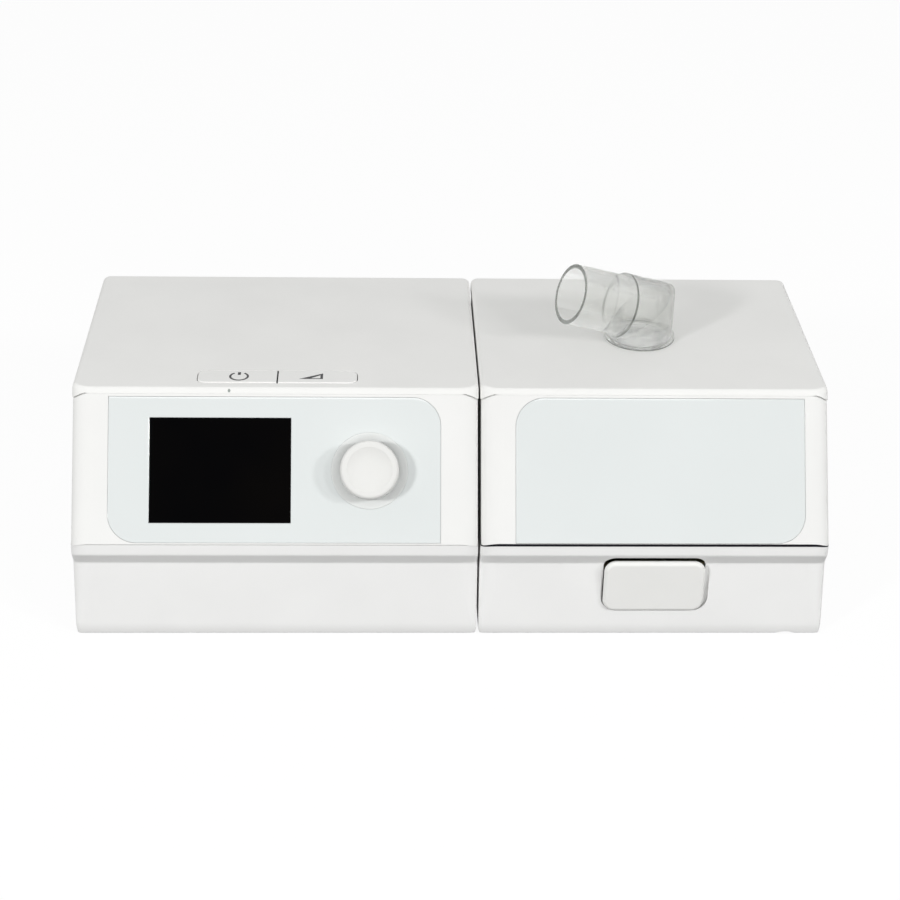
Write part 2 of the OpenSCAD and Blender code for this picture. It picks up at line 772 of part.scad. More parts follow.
module motor_housing() {
    color("silver") translate([blower_cx, blower_cy, motor_z]) difference() {
        cylinder(r = motor_r, h = motor_h);
        translate([0, 0, bearing_t + 1]) cylinder(r = motor_r - 1.5, h = motor_h - 2 * bearing_t - 2);
        translate([0, 0, 1]) cylinder(r = bearing_r, h = bearing_t + cut);
        translate([0, 0, motor_h - bearing_t - 1 - cut]) cylinder(r = bearing_r, h = bearing_t + cut);
        translate([0, 0, motor_h - 2]) cylinder(r = rotor_r + 0.5, h = 4);
    }
}

module motor_stator() {
    h = motor_h - 2 * bearing_t - 4;
    color("peru") translate([blower_cx, blower_cy, motor_z + bearing_t + 2]) difference() {
        cylinder(r = motor_r - 1.5 - seat, h = h);
        translate([0, 0, -cut]) cylinder(r = motor_r - 6.5, h = h + 2 * cut);
        for (a = [0:60:300]) rotate(a) translate([motor_r - 4.5, 0, -cut]) cylinder(r = 1.3, h = h + 2 * cut);
    }
}

module motor_bearings() {
    color("lightgray") for (z = [1, motor_h - bearing_t - 1])
        translate([blower_cx, blower_cy, motor_z + z]) tube(bearing_r, rotor_r + fit, bearing_t);
}

module rotor_shaft() {
    color("lightsteelblue") translate([blower_cx, blower_cy, motor_z]) {
        translate([0, 0, 1 + near]) cylinder(r = rotor_r, h = motor_h + 7.5);
        translate([0, 0, bearing_t + 1.5]) cylinder(r = motor_r - 7.5, h = motor_h - 2 * bearing_t - 3);
    }
}

module impeller() {
    h = 8;
    color("ivory") translate([blower_cx, blower_cy, disc_z]) difference() {
        union() {
            cylinder(r = impeller_r, h = 1.2);
            cylinder(r = 5, h = h - 1);
            for (i = [0:blades - 1]) rotate(360 * i / blades) translate([4, -0.5, 0])
                cube([impeller_r - 5, 1, h]);
            translate([0, 0, h - 1]) tube(impeller_r, 12, 1.2);
        }
        translate([0, 0, -cut]) cylinder(r = rotor_r, h = h + 2 * cut);
    }
}

module blower_mounts() {
    color("black") for (p = mount_spots()) translate([p.x, p.y, blower_z - mount_h])
        cylinder(r = 4.5, h = mount_h);
}

coupling_x = blower_cx + blower_r;

module outlet_coupling() {
    nozzle = port_r + 0.5;
    color("black") along_x([coupling_x + 2, port_y, port_z]) difference() {
        union() {
            cylinder(r = nozzle + 1.6, h = 16);
            for (x = [7.5, 10.5]) translate([0, 0, x - 0.9]) cylinder(r = nozzle + 2.6, h = 1.8);
        }
        translate([0, 0, -cut]) cylinder(r = nozzle, h = 16 + 2 * cut);
    }
}

module outlet_spigot() {
    start = coupling_x + 12;
    color("whitesmoke") difference() {
        union() {
            along_x([start, port_y, port_z]) cylinder(r = port_r + 0.5, h = gen_r - wall - 4 - start);
            along_x([gen_r - wall - 4.5, port_y, port_z])
                cylinder(r = port_r, h = wall + 4.5 + unit_gap + port_reach);
            along_x([gen_r - wall - 4, port_y, port_z]) cylinder(r = port_r + 2.5, h = 4 - seat);
        }
        along_x([start - cut, port_y, port_z]) cylinder(r = port_r - 1.5, h = 200);
    }
}

// ---- air inlet ----

muffler_z = blower_top + seat;
muffler_w = 60;
muffler_ahead = 18;     // foam before the middle of the blower
channel_w = 18;         // air channel in the foam
channel_low = 4;
channel_top = 15;
filter_t = 8;

module inlet_muffler() {
    color("dimgray") difference() {
        span([blower_cx - muffler_w / 2, blower_cy - muffler_ahead, muffler_z],
            [blower_cx + muffler_w / 2, back_y - wall - filter_t - 2.5, lid_low - skirt_h - 1.5]);
        translate([blower_cx, blower_cy, muffler_z - cut]) cylinder(r = 12, h = cut + channel_top);
        span([blower_cx - channel_w / 2, blower_cy - channel_w / 2, muffler_z + channel_low],
            [blower_cx + channel_w / 2, back_y, muffler_z + channel_top]);
    }
}

module air_filter() {
    inset = 2;
    color("white") span(
        [blower_cx - filter_w / 2 + inset, back_y - wall - filter_t - inset, filter_z - filter_h / 2 + inset],
        [blower_cx + filter_w / 2 - inset, back_y - wall - 0.5, filter_z + filter_h / 2 - inset]);
}

module filter_cover() {
    w = filter_w - 2 * near;
    h = filter_h - 2 * near;
    color("gainsboro") difference() {
        union() {
            span([blower_cx - w / 2, back_y - wall, filter_z - h / 2],
                [blower_cx + w / 2, back_y - side_step, filter_z + h / 2]);
            difference() {
                span([blower_cx - w / 2, back_y - wall - filter_t, filter_z - h / 2],
                    [blower_cx + w / 2, back_y - wall + 0.5, filter_z + h / 2]);
                span([blower_cx - w / 2 + 1.5, back_y - wall - filter_t - cut, filter_z - h / 2 + 1.5],
                    [blower_cx + w / 2 - 1.5, back_y - wall + cut, filter_z + h / 2 - 1.5]);
            }
        }
        for (i = [-3:3]) span([blower_cx - w / 2 + 5, back_y - wall - cut, filter_z + i * 2.8 - 0.7],
            [blower_cx + w / 2 - 5, back_y + cut, filter_z + i * 2.8 + 0.7]);
    }
}

module generator_feet() {
    color("dimgray") feet(gen_l, gen_r);
}

module generator_screws() {
    color("silver") screws(screw_spots(gen_l, gen_r), screw_top + screw_bite);
}

// ---- humidifier base ----

latch_cx = hum_l + latch_x;
latch_cz = latch_z + latch_h / 2;
latch_front = face_front - latch_proud;
hinge_y = back_y;
flange_y = face_front + wall + near;
flange_t = 1.5;
spring_y = flange_y + flange_t + seat;
spring_len = 11;
spring_r = 3;
ledge_top = seam_z + 2.2;
ledge_y = front_y + 9;
function base_knuckles() = [hum_l + hinge_in, hum_r - hinge_in - knuckle];
function hood_knuckles() = [hum_l + hinge_in + knuckle + near, hum_r - hinge_in - 2 * knuckle - near];

module knuckles(spots, r, grow) {
    for (x = spots) along_x([x - grow, hinge_y, seam_z]) cylinder(r = r, h = knuckle + 2 * grow);
}

module humidifier_base() {
    color("whitesmoke") difference() {
        union() {
            difference() {
                base_shell(hum_l, hum_r, hood_gap, carrier_spots(), carrier_post_r, carrier_z);
                knuckles(hood_knuckles(), hinge_r + 0.4, near);
            }
            knuckles(base_knuckles(), hinge_r, 0);
            span([latch_cx - 8, spring_y + spring_len, floor_z - sink],
                [latch_cx + 8, spring_y + spring_len + 2.5, spring_cz() + 4.5]);
            for (s = [-1, 1]) translate([hum_l + 8, port_y + s * 7, floor_z - sink])
                cylinder(r = 2.5, h = duct_low - floor_z + sink);
        }
        knuckles(base_knuckles(), pin_r, cut);
        along_y([latch_cx, front_y - 3, latch_cz])
            round_slab(latch_w + 1, latch_h + 1, latch_r + 0.5, 3 + undercut_d + wall + cut);
        along_x([hum_l - cut, port_y, port_z]) cylinder(r = port_r + 0.5, h = wall + 2 * cut);
        dock_tongue(hum_l - cut, hum_l + wall + cut, 0.5);
        for (s = [-1, 1]) along_x([hum_l - cut, dock_pin_y(s), dock_pin_z])
            cylinder(r = dock_pin_r + fit, h = wall + 2 * cut);
        // flat arch under the front edge, for a fingertip
        along_y([hum_r - arch_x, front_y - cut, foot_proud + arch_h - arch_r]) cylinder(r = arch_r, h = 9);
    }
}

function spring_cz() = latch_z + 5.5;
arch_x = 12.6;          // middle of the arch from the humidifier's right side
arch_w = 7.2;
arch_h = 0.7;
arch_r = (arch_w * arch_w / 4 + arch_h * arch_h) / (2 * arch_h);

module latch_button() {
    arm_x = 6;
    color("whitesmoke") {
        along_y([latch_cx, latch_front, latch_cz])
            round_slab(latch_w, latch_h, latch_r, flange_y + flange_t - latch_front);
        along_y([latch_cx, flange_y, latch_cz])
            round_slab(latch_w + 2.4, latch_h + 1.6, latch_r + 0.8, flange_t);
        span([latch_cx - arm_x, flange_y + 1, latch_cz + 2], [latch_cx + arm_x, ledge_y + 3.3, latch_cz + 8]);
        span([latch_cx - arm_x, ledge_y + 1.3, latch_cz + 2], [latch_cx + arm_x, ledge_y + 3.3, ledge_top + 2]);
        span([latch_cx - arm_x, ledge_y + near, ledge_top + near],
            [latch_cx + arm_x, ledge_y + 3.3, ledge_top + 2]);
        along_y([latch_cx, flange_y + 1, spring_cz()]) cylinder(r = spring_r - 1.4, h = 4);
    }
}

// One closed skin round a helix
module coil(r, wire, turns, length) {
    steps = 12 * turns;
    sides = 6;
    rise = (length - wire) / steps;
    ring = function(k) [for (j = [0:sides - 1])
        let (a = 30 * k, b = 360 * j / sides, q = r + wire / 2 * cos(b))
            [q * cos(a), q * sin(a), wire / 2 + k * rise + wire / 2 * sin(b)]];
    top = steps * sides;
    polyhedron(
        points = [for (k = [0:steps]) each ring(k)],
        faces = concat([[for (j = [sides - 1:-1:0]) j]], [[for (j = [0:sides - 1]) top + j]],
            [for (k = [0:steps - 1], j = [0:sides - 1]) let (m = (j + 1) % sides)
                [k * sides + j, k * sides + m, (k + 1) * sides + m]],
            [for (k = [0:steps - 1], j = [0:sides - 1]) let (m = (j + 1) % sides)
                [k * sides + j, (k + 1) * sides + m, (k + 1) * sides + j]]));
}

module latch_spring() {
    color("silver") along_y([latch_cx, spring_y, spring_cz()]) coil(spring_r - 0.5, 0.7, 5, spring_len - seat);
}

module hinge_pins() {
    color("silver") for (x = [hum_l + hinge_in, hum_r - hinge_in - 2 * knuckle - near])
        along_x([x, hinge_y, seam_z]) cylinder(r = pin_r, h = 2 * knuckle + near);
}

module humidifier_feet() {
    color("dimgray") feet(hum_l, hum_r);
}

module humidifier_screws() {
    color("silver") screws(carrier_spots(), carrier_z + carrier_bite);
}

module dock_receptacle() {
    half = [dock_w / 2 + dock_rim + 1, dock_t / 2 + dock_rim + 1];
    color("black") difference() {
        span([hum_l + wall + seat, dock_y - half.x, dock_z - half.y],
            [hum_l + wall + dock_body + 1, dock_y + half.x, dock_z + half.y]);
        dock_tongue(hum_l, hum_l + dock_reach + wall + 1, near);
    }
}

// ---- humidifier: air path, heater and tub ----

duct_w = 12;
duct_l = hum_l + wall + 0.5;
duct_r = duct_l + duct_w;
duct_low = port_z - port_r - 3;
tub_l = duct_r + 3.5;
tub_cx = tub_l + tub_w / 2;
tub_front = front_y + tub_y;
tub_back = tub_front + tub_d;
carrier_z = 8;
element_z = carrier_z + 3;
plate_z = element_z + 1.2;
tub_plate_z = plate_z + heater_t;
tub_z = tub_plate_z + 1.2;
tub_top = tub_z + tub_h;
gasket_t = 1.2;
tub_lid_z = tub_top + gasket_t;
outlet_x = hum_l + elbow_x;
outlet_y = lid_y + elbow_y;
socket_low = lid_z - spigot_h - 0.8;
gasket_low = socket_low - 1.8;
collar_top = gasket_low - near;
collar_h = 0.8;
dome_top = collar_top - collar_h;
window_z = (tub_lid_z + 2 + dome_top) / 2;
window_w = 14;
window_h = 6;

carrier_post_r = 4.2;
carrier_bite = 2.5;
function carrier_spots() = [for (x = [tub_l + 22, tub_l + tub_w - 24],
    y = [tub_front + 16, tub_back - 14]) [x, y]];

module air_duct() {
    top = window_z + window_h / 2 + 3;
    color("whitesmoke") difference() {
        span([duct_l, port_y - port_r - 3, duct_low], [duct_r, port_y + port_r + 3, top]);
        span([duct_l + 7, port_y - port_r, duct_low + 2], [duct_r - 1.5, port_y + port_r, top - 2]);
        span([duct_l + 1.5, port_y - port_r, port_z + port_r + 4], [duct_r - 1.5, port_y + port_r, top - 2]);
        along_x([duct_l - cut, port_y, port_z]) cylinder(r = port_r + fit, h = 8 + cut);
        span([duct_r - 3, port_y - window_w / 2, window_z - window_h / 2],
            [duct_r + cut, port_y + window_w / 2, window_z + window_h / 2]);
    }
}

module duct_seal() {
    color("gray") difference() {
        span([duct_r, port_y - window_w / 2 - 2, window_z - window_h / 2 - 2],
            [tub_l, port_y + window_w / 2 + 2, window_z + window_h / 2 + 2]);
        span([duct_r - cut, port_y - window_w / 2, window_z - window_h / 2],
            [tub_l + cut, port_y + window_w / 2, window_z + window_h / 2]);
    }
}

module heater_carrier() {
    color("beige") difference() {
        span([tub_l + 6, tub_front + 6, carrier_z], [tub_l + tub_w - 4, tub_back - 4, element_z + 1]);
        span([tub_l + 8.5, tub_front + 8.5, element_z],
            [tub_l + tub_w - 6.5, tub_back - 6.5, element_z + 1 + cut]);
        for (p = carrier_spots()) translate([p.x, p.y, carrier_z - cut])
            cylinder(r = screw_r + fit, h = carrier_bite + seat + cut);
    }
}

module heater_element() {
    color("sienna")
        span([tub_l + 10, tub_front + 10, element_z], [tub_l + tub_w - 8, tub_back - 8, plate_z]);
}

module heater_plate() {
    color("silver")
        span([tub_l + 7, tub_front + 7, plate_z], [tub_l + tub_w - 5, tub_back - 5, plate_z + heater_t]);
}

module tub_base_plate() {
    color("lightgray")
        span([tub_l + 5, tub_front + 5, tub_plate_z], [tub_l + tub_w - 5, tub_back - 5, tub_z]);
}

module tub_body() {
    color("lightblue", 0.5) difference() {
        translate([tub_cx, (tub_front + tub_back) / 2, tub_z]) round_slab(tub_w, tub_d, tub_r, tub_h);
        translate([tub_cx, (tub_front + tub_back) / 2, tub_z + tub_wall])
            round_slab(tub_w - 2 * tub_wall, tub_d - 2 * tub_wall, tub_r - tub_wall, tub_h);
    }
}

module tub_gasket() {
    color("gray") translate([tub_cx, (tub_front + tub_back) / 2, tub_top]) difference() {
        round_slab(tub_w, tub_d, tub_r, gasket_t);
        translate([0, 0, -cut])
            round_slab(tub_w - 2 * tub_wall, tub_d - 2 * tub_wall, tub_r - tub_wall, gasket_t + 2 * cut);
    }
}

module tub_lid() {
    dome_front = tub_front + 11;
    color("lightblue", 0.5) difference() {
        union() {
            translate([tub_cx, (tub_front + tub_back) / 2, tub_lid_z]) round_slab(tub_w, tub_d, tub_r, 2);
            span([tub_l, dome_front, tub_lid_z + 1], [tub_l + tub_w - 3, tub_back - 3, dome_top]);
            translate([outlet_x, outlet_y, dome_top - 0.5]) cylinder(r = 13, h = collar_h + 0.5);
        }
        span([tub_l + tub_wall, dome_front + tub_wall, tub_lid_z - cut],
            [tub_l + tub_w - 3 - tub_wall, tub_back - 3 - tub_wall, dome_top - tub_wall]);
        translate([outlet_x, outlet_y, tub_lid_z]) cylinder(r = elbow_bore, h = 40);
        span([tub_l - cut, port_y - window_w / 2, window_z - window_h / 2],
            [tub_l + tub_wall + cut, port_y + window_w / 2, window_z + window_h / 2]);
    }
}

// ---- hood ----

hood_fascia_x = hum_l + hood_margin_in;
hood_fascia_w = hum_w - hood_margin_in - hood_margin_out;

module hood_housing() {
    color("white") difference() {
        union() {
            difference() {
                housing_skin(hum_l, hum_r, hood_gap);
                housing_hollow(hum_l, hum_r);
                knuckles(base_knuckles(), hinge_r + 0.4, near);
            }
            knuckles(hood_knuckles(), hinge_r, 0);
            span([latch_cx - 9, front_y + front_in, seam_z + hood_gap / 2], [latch_cx + 9, ledge_y, ledge_top]);
        }
        fascia_pocket(hood_fascia_x, hood_fascia_w, false);
        knuckles(hood_knuckles(), pin_r + fit, cut);
    }
}

module hood_cover() {
    color("gainsboro") difference() {
        union() {
            cover_plate(hum_l, hum_r);
            cover_skirt(hum_l, hum_r, lid_low - skirt_h);
        }
        translate([outlet_x, outlet_y, lid_low - cut]) cylinder(r = elbow_r + 0.4, h = lid_t + 2 * cut);
    }
}

module hood_fascia() {
    color("lightcyan") on_face(hood_fascia_x, fascia_low, -fascia_t)
        leaf(hood_fascia_w, fascia_h, fascia_r, fascia_t, false);
}

spigot_r = elbow_r - 0.5;

module outlet_socket() {
    color("white") translate([outlet_x, outlet_y, socket_low]) difference() {
        union() {
            cylinder(r = spigot_r + 3.5, h = lid_low - socket_low);
            translate([0, 0, lid_low - socket_low - 1.5]) cylinder(r = spigot_r + 7, h = 1.5);
        }
        translate([0, 0, -cut]) cylinder(r = elbow_bore, h = 3);
        translate([0, 0, 0.5]) cylinder(r = spigot_r + fit, h = 20);
    }
}

module outlet_gasket() {
    color("gray") translate([outlet_x, outlet_y, gasket_low]) tube(13, elbow_bore, socket_low - gasket_low);
}

// ---- elbow ----

elbow_wall = elbow_r - elbow_bore;
groove_z = lid_z - 6.5;
groove_h = 1.6;
groove_d = 0.8;

// Frame at the bend, Z along the tube
module bend_frame() {
    translate([outlet_x, outlet_y, lid_z + elbow_bend]) rotate([0, 0, elbow_turn])
        rotate([0, elbow_rise - 90, 0]) children();
}

// Two bars of one radius that meet at a mitre: upright from a height, and along the tube for a length
module knee(r, low, long) {
    top = lid_z + elbow_bend;
    past = r + cut;
    translate([outlet_x, outlet_y, low]) cylinder(r = r, h = top - low);
    bend_frame() cylinder(r = r, h = long);
    intersection() {
        translate([outlet_x, outlet_y, low]) cylinder(r = r, h = top + past - low);
        bend_frame() translate([0, 0, -past]) cylinder(r = r, h = past + long);
    }
}

module outlet_elbow() {
    body_len = elbow_len - hose_end;
    color("lightcyan", 0.4) difference() {
        union() {
            bend_frame() translate([0, 0, body_len - cut])
                cylinder(r = elbow_r, h = hose_end + cut);
            knee(elbow_body_r, lid_z + near, body_len);
            translate([outlet_x, outlet_y, lid_z + near]) cylinder(r = elbow_flange_r, h = 1.2);
            translate([outlet_x, outlet_y, lid_z - spigot_h]) cylinder(r = spigot_r, h = spigot_h + 1);
        }
        knee(elbow_body_r - elbow_wall, lid_z + 1.5, body_len - elbow_wall);
        bend_frame() translate([0, 0, body_len - elbow_wall - cut])
            cylinder(r = elbow_bore, h = hose_end + elbow_wall + 2 * cut);
        translate([outlet_x, outlet_y, lid_z - spigot_h - cut])
            cylinder(r = elbow_bore - 0.4, h = spigot_h + 3 + cut);
        translate([outlet_x, outlet_y, groove_z]) tube(elbow_r + 2, spigot_r - groove_d, groove_h);
    }
}

module elbow_o_ring() {
    color("black") translate([outlet_x, outlet_y, groove_z + fit])
        tube(spigot_r, spigot_r - groove_d + fit, groove_h - 2 * fit);
}

generator_base();
generator_housing();
generator_cover();
generator_fascia();
display_window();
display_module();
front_board();
knob_bezel();
encoder_body();
encoder_plunger();
encoder_shaft();
control_knob();
power_key();
ramp_key();
key_board();
key_switches();
status_lens();
main_board();
power_jack();
blower_lower();
blower_upper();
motor_housing();
motor_stator();
motor_bearings();
rotor_shaft();
impeller();
blower_mounts();
outlet_coupling();
outlet_spigot();
inlet_muffler();
air_filter();
filter_cover();
dock_plug();
dock_pins();
generator_feet();
generator_screws();
humidifier_base();
heater_carrier();
heater_element();
heater_plate();
tub_base_plate();
tub_body();
tub_gasket();
tub_lid();
air_duct();
duct_seal();
dock_receptacle();
latch_button();
latch_spring();
hinge_pins();
humidifier_feet();
humidifier_screws();
hood_housing();
hood_cover();
hood_fascia();
outlet_socket();
outlet_gasket();
outlet_elbow();
elbow_o_ring();
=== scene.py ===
import json
import math

import bmesh
import bpy
from mathutils import Matrix, Vector


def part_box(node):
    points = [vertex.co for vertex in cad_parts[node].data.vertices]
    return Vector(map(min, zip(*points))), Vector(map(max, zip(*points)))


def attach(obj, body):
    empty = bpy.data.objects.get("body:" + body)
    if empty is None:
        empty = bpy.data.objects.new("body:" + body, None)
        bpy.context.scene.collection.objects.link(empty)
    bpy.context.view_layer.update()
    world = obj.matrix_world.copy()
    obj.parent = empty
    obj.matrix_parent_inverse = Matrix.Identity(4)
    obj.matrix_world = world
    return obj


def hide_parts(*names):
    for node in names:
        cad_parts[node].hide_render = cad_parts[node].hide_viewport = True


# A two-unit sleep therapy machine: a blower unit with a screen and a knob, and a humidifier with a
# hinged hood, a latch button and a clear elbow. Pieces are modelled in millimetres and brought to
# metres when they are finished. X runs along the width, Y from front to back, Z up.

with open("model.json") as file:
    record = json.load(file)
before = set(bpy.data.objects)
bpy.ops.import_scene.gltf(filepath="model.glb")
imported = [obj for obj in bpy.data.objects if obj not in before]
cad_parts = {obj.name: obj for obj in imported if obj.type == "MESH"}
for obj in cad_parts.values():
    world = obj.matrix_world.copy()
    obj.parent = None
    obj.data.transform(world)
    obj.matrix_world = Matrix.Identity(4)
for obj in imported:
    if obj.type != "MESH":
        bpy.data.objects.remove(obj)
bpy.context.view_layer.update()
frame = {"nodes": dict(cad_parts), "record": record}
mm = 0.001
print("frame loaded:", len(frame["nodes"]), "nodes")

# Sizes that the pieces share

shell = {
    "lean": math.radians(32.5),      # how far the fronts lean back
    "lidCorner": (7.5, 4.6),         # soft front corners: along the front, and from front to back
    "seamCorner": (7.5, 3.8),
    "footCorner": (2.5, 1.0),
    "backCorner": 3.0,
    "seamSag": 1.7,                  # how much lower the joints lie at the sides
    "sagWide": 7.0,
    "cornerSteps": 12,
    "wall": 2.5,
    "frontWall": 3.0,
    "genGap": 0.3,                   # base to housing, blower unit
    "hoodGap": 0.7,                  # base to hood, humidifier
    "hoodLift": 0.2,
    "seat": 0.1,                     # gap round a part that is seated in another
    "softEdge": 0.25,                # rounding of moulded edges
    "leastCorner": 0.5,              # plan corners that shrink with an inset stay this round
    "weld": 0.0005,                  # points closer than this become one
}


def boxOf(node):
    low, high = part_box(node)
    return low / mm, high / mm


def middleOf(node):
    low, high = boxOf(node)
    return (low + high) / 2


genBase, humBase = boxOf("generator_base"), boxOf("humidifier_base")
genUpper, hoodUpper = boxOf("generator_housing"), boxOf("hood_housing")
genLid, hoodLid = boxOf("generator_cover"), boxOf("hood_cover")
frontY, backY = genBase[0].y, genBase[1].y
seamZ = genBase[1].z + shell["genGap"] / 2
lidTop = genLid[1].z
leanSin, leanCos = math.sin(shell["lean"]), math.cos(shell["lean"])

# Local X, up along the sloping front, and out of it
faceFrame = Matrix((
    (1, 0, 0, 0),
    (0, leanSin, -leanCos, frontY),
    (0, leanCos, leanSin, seamZ),
    (0, 0, 0, 1)))


def faceY(z):
    return frontY + (z - seamZ) * leanSin / leanCos


# Left, right, lower and upper edge of a flat part on the front, in the front's own plane
def spanOnFace(node, thick):
    low, high = boxOf(node)
    return low.x, high.x, (low.z - seamZ + thick * leanSin) / leanCos, (high.z - seamZ) / leanCos


# Camera

camera = {
    "place": (-25.44, -651.62, 404.31),   # mm, in front of the machine and above it
    "down": 29.204,                       # degrees
    "right": 2.312,
    "tilt": 1.308,
    "lens": 79.64,
    "sensor": 36,
}


def addObject(name, data):
    thing = bpy.data.objects.new(name, data)
    bpy.context.scene.collection.objects.link(thing)
    return thing


def makeCamera():
    data = bpy.data.cameras.new("camera")
    data.lens = camera["lens"]
    data.sensor_width = camera["sensor"]
    data.clip_start, data.clip_end = 0.01, 50
    eye = addObject("camera", data)
    turn = (Matrix.Rotation(math.radians(-camera["right"]), 4, "Z")
            @ Matrix.Rotation(math.radians(90 - camera["down"]), 4, "X")
            @ Matrix.Rotation(math.radians(camera["tilt"]), 4, "Z"))
    eye.matrix_world = Matrix.Translation(Vector(camera["place"]) * mm) @ turn
    bpy.context.scene.camera = eye


makeCamera()
print("camera placed")

# Mesh helpers


def addMesh(name, bm):
    mesh = bpy.data.meshes.new(name)
    bm.to_mesh(mesh)
    bm.free()
    return addObject(name, mesh)


def newPiece(name, bm):
    bmesh.ops.remove_doubles(bm, verts=bm.verts, dist=shell["weld"])
    bmesh.ops.recalc_face_normals(bm, faces=bm.faces)
    return addMesh(name, bm)


# Puts a piece's modifiers into its mesh
def bake(piece):
    graph = bpy.context.evaluated_depsgraph_get()
    mesh = bpy.data.meshes.new_from_object(piece.evaluated_get(graph), depsgraph=graph)
    spent = piece.data
    piece.modifiers.clear()
    piece.data = mesh
    bpy.data.meshes.remove(spent)
    mesh.name = piece.name


def carve(piece, cutterMesh, how="DIFFERENCE"):
    cutter = newPiece("cutter", cutterMesh)
    modifier = piece.modifiers.new("carve", "BOOLEAN")
    modifier.operation = how
    modifier.solver = "MANIFOLD"
    modifier.object = cutter
    bake(piece)
    spent = cutter.data
    bpy.data.objects.remove(cutter)
    bpy.data.meshes.remove(spent)


def softenEdges(piece, width, segments=2, angle=32):
    modifier = piece.modifiers.new("soften", "BEVEL")
    modifier.width = width
    modifier.segments = segments
    modifier.limit_method = "ANGLE"
    modifier.angle_limit = math.radians(angle)
    modifier.miter_outer = "MITER_ARC"
    bake(piece)


def finishPiece(piece, body, material, nodes=(), smoothAngle=38):
    piece.data.transform(Matrix.Scale(mm, 4))
    piece.data.shade_smooth()
    piece.data.set_sharp_from_angle(angle=math.radians(smoothAngle))
    modifier = piece.modifiers.new("even normals", "WEIGHTED_NORMAL")
    modifier.keep_sharp = True
    modifier.weight = 80
    piece.data.materials.clear()
    piece.data.materials.append(material)
    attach(piece, body)
    if nodes:
        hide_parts(*nodes)
    return piece


# Closed ring of edges round a plan outline: soft front corners, round back corners
def planRing(bm, xa, xb, ya, yb, z, corner, inset=0.0, filled=False):
    known = set(bm.verts)
    sizes = (*corner, shell["backCorner"])
    wide, deep, back = (max(size - inset, shell["leastCorner"]) for size in sizes)
    corners = [bm.verts.new((x, y, z)) for x, y in ((xa, ya), (xb, ya), (xb, yb), (xa, yb))]
    bm.faces.new(corners)
    rounding = {"affect": "VERTICES", "offset_type": "OFFSET", "segments": shell["cornerSteps"],
                "profile": 0.5, "material": -1}
    # the front corners are ellipses, so they are rounded while the outline is stretched
    stretch = wide / deep
    bmesh.ops.scale(bm, vec=(1, stretch, 1), verts=corners)
    bmesh.ops.bevel(bm, geom=corners[:2], offset=wide, **rounding)
    ring = [v for v in bm.verts if v not in known]
    bmesh.ops.scale(bm, vec=(1, 1 / stretch, 1), verts=ring)
    bmesh.ops.bevel(bm, geom=corners[2:], offset=back, **rounding)
    ring = [v for v in bm.verts if v not in known]
    edges = list({e for v in ring for e in v.link_edges})
    if not filled:
        faces = list({f for v in ring for f in v.link_faces})
        bmesh.ops.delete(bm, geom=faces, context="FACES_ONLY")
    return edges


def bridgeRings(bm, rings, closed=False):
    following = rings[1:] + rings[:1] if closed else rings[1:]
    for near, far in zip(rings, following):
        bmesh.ops.bridge_loops(bm, edges=near + far)


# Turns flat faces into a solid of the given height
def extrudeUp(bm, height):
    grown = bmesh.ops.extrude_face_region(bm, geom=bm.faces[:], use_keep_orig=True)
    lifted = [g for g in grown["geom"] if isinstance(g, bmesh.types.BMVert)]
    bmesh.ops.translate(bm, vec=(0, 0, height), verts=lifted)
    return bm


# A flat slab with some of its corners round: corners run from lower left, anticlockwise
def slab(xa, xb, ya, yb, za, zb, radius=0.0, rounded=(0, 1, 2, 3), steps=16):
    bm = bmesh.new()
    corners = [bm.verts.new((x, y, za)) for x, y in ((xa, ya), (xb, ya), (xb, yb), (xa, yb))]
    bm.faces.new(corners)
    if radius > 0:
        bmesh.ops.bevel(bm, geom=[corners[i] for i in rounded], offset=radius, affect="VERTICES",
                        offset_type="OFFSET", segments=steps, profile=0.5, material=-1)
    return extrudeUp(bm, zb - za)


def roundBar(radius, length, sides=64):
    bm = bmesh.new()
    bmesh.ops.create_cone(bm, cap_ends=True, segments=sides, radius1=radius, radius2=radius, depth=length)
    bmesh.ops.translate(bm, vec=(0, 0, length / 2), verts=bm.verts)
    return bm


def moved(bm, matrix):
    bmesh.ops.transform(bm, matrix=matrix, verts=bm.verts)
    return bm


alongX = Matrix.Rotation(math.pi / 2, 4, "Y")
alongY = Matrix.Rotation(-math.pi / 2, 4, "X")


def at(x, y, z):
    return Matrix.Translation((x, y, z))


# A solid of revolution about Z from (radius, height) points; a first or last radius of 0 closes it
def lathe(points, steps=96):
    bm = bmesh.new()
    line = [bm.verts.new((r, 0, z)) for r, z in points]
    for a, b in zip(line, line[1:]):
        bm.edges.new((a, b))
    bmesh.ops.spin(bm, geom=bm.verts[:] + bm.edges[:], cent=(0, 0, 0), axis=(0, 0, 1),
                   angle=2 * math.pi, steps=steps, use_merge=True)
    bmesh.ops.remove_doubles(bm, verts=bm.verts, dist=shell["weld"])
    return bm


def arcPoints(cx, cy, radius, start, end, steps=6):
    angles = [math.radians(start + (end - start) * i / steps) for i in range(steps + 1)]
    return [(cx + radius * math.cos(a), cy + radius * math.sin(a)) for a in angles]


# Materials


def newMaterial(name, color, roughness, **sockets):
    material = bpy.data.materials.new(name)
    material.use_nodes = True
    shader = material.node_tree.nodes["Principled BSDF"]
    shader.inputs["Base Color"].default_value = (*color, 1)
    shader.inputs["Roughness"].default_value = roughness
    for socket, value in sockets.items():
        shader.inputs[socket.replace("_", " ")].default_value = value
    return material


def inputOf(material, socket):
    return material.node_tree.nodes["Principled BSDF"].inputs[socket]


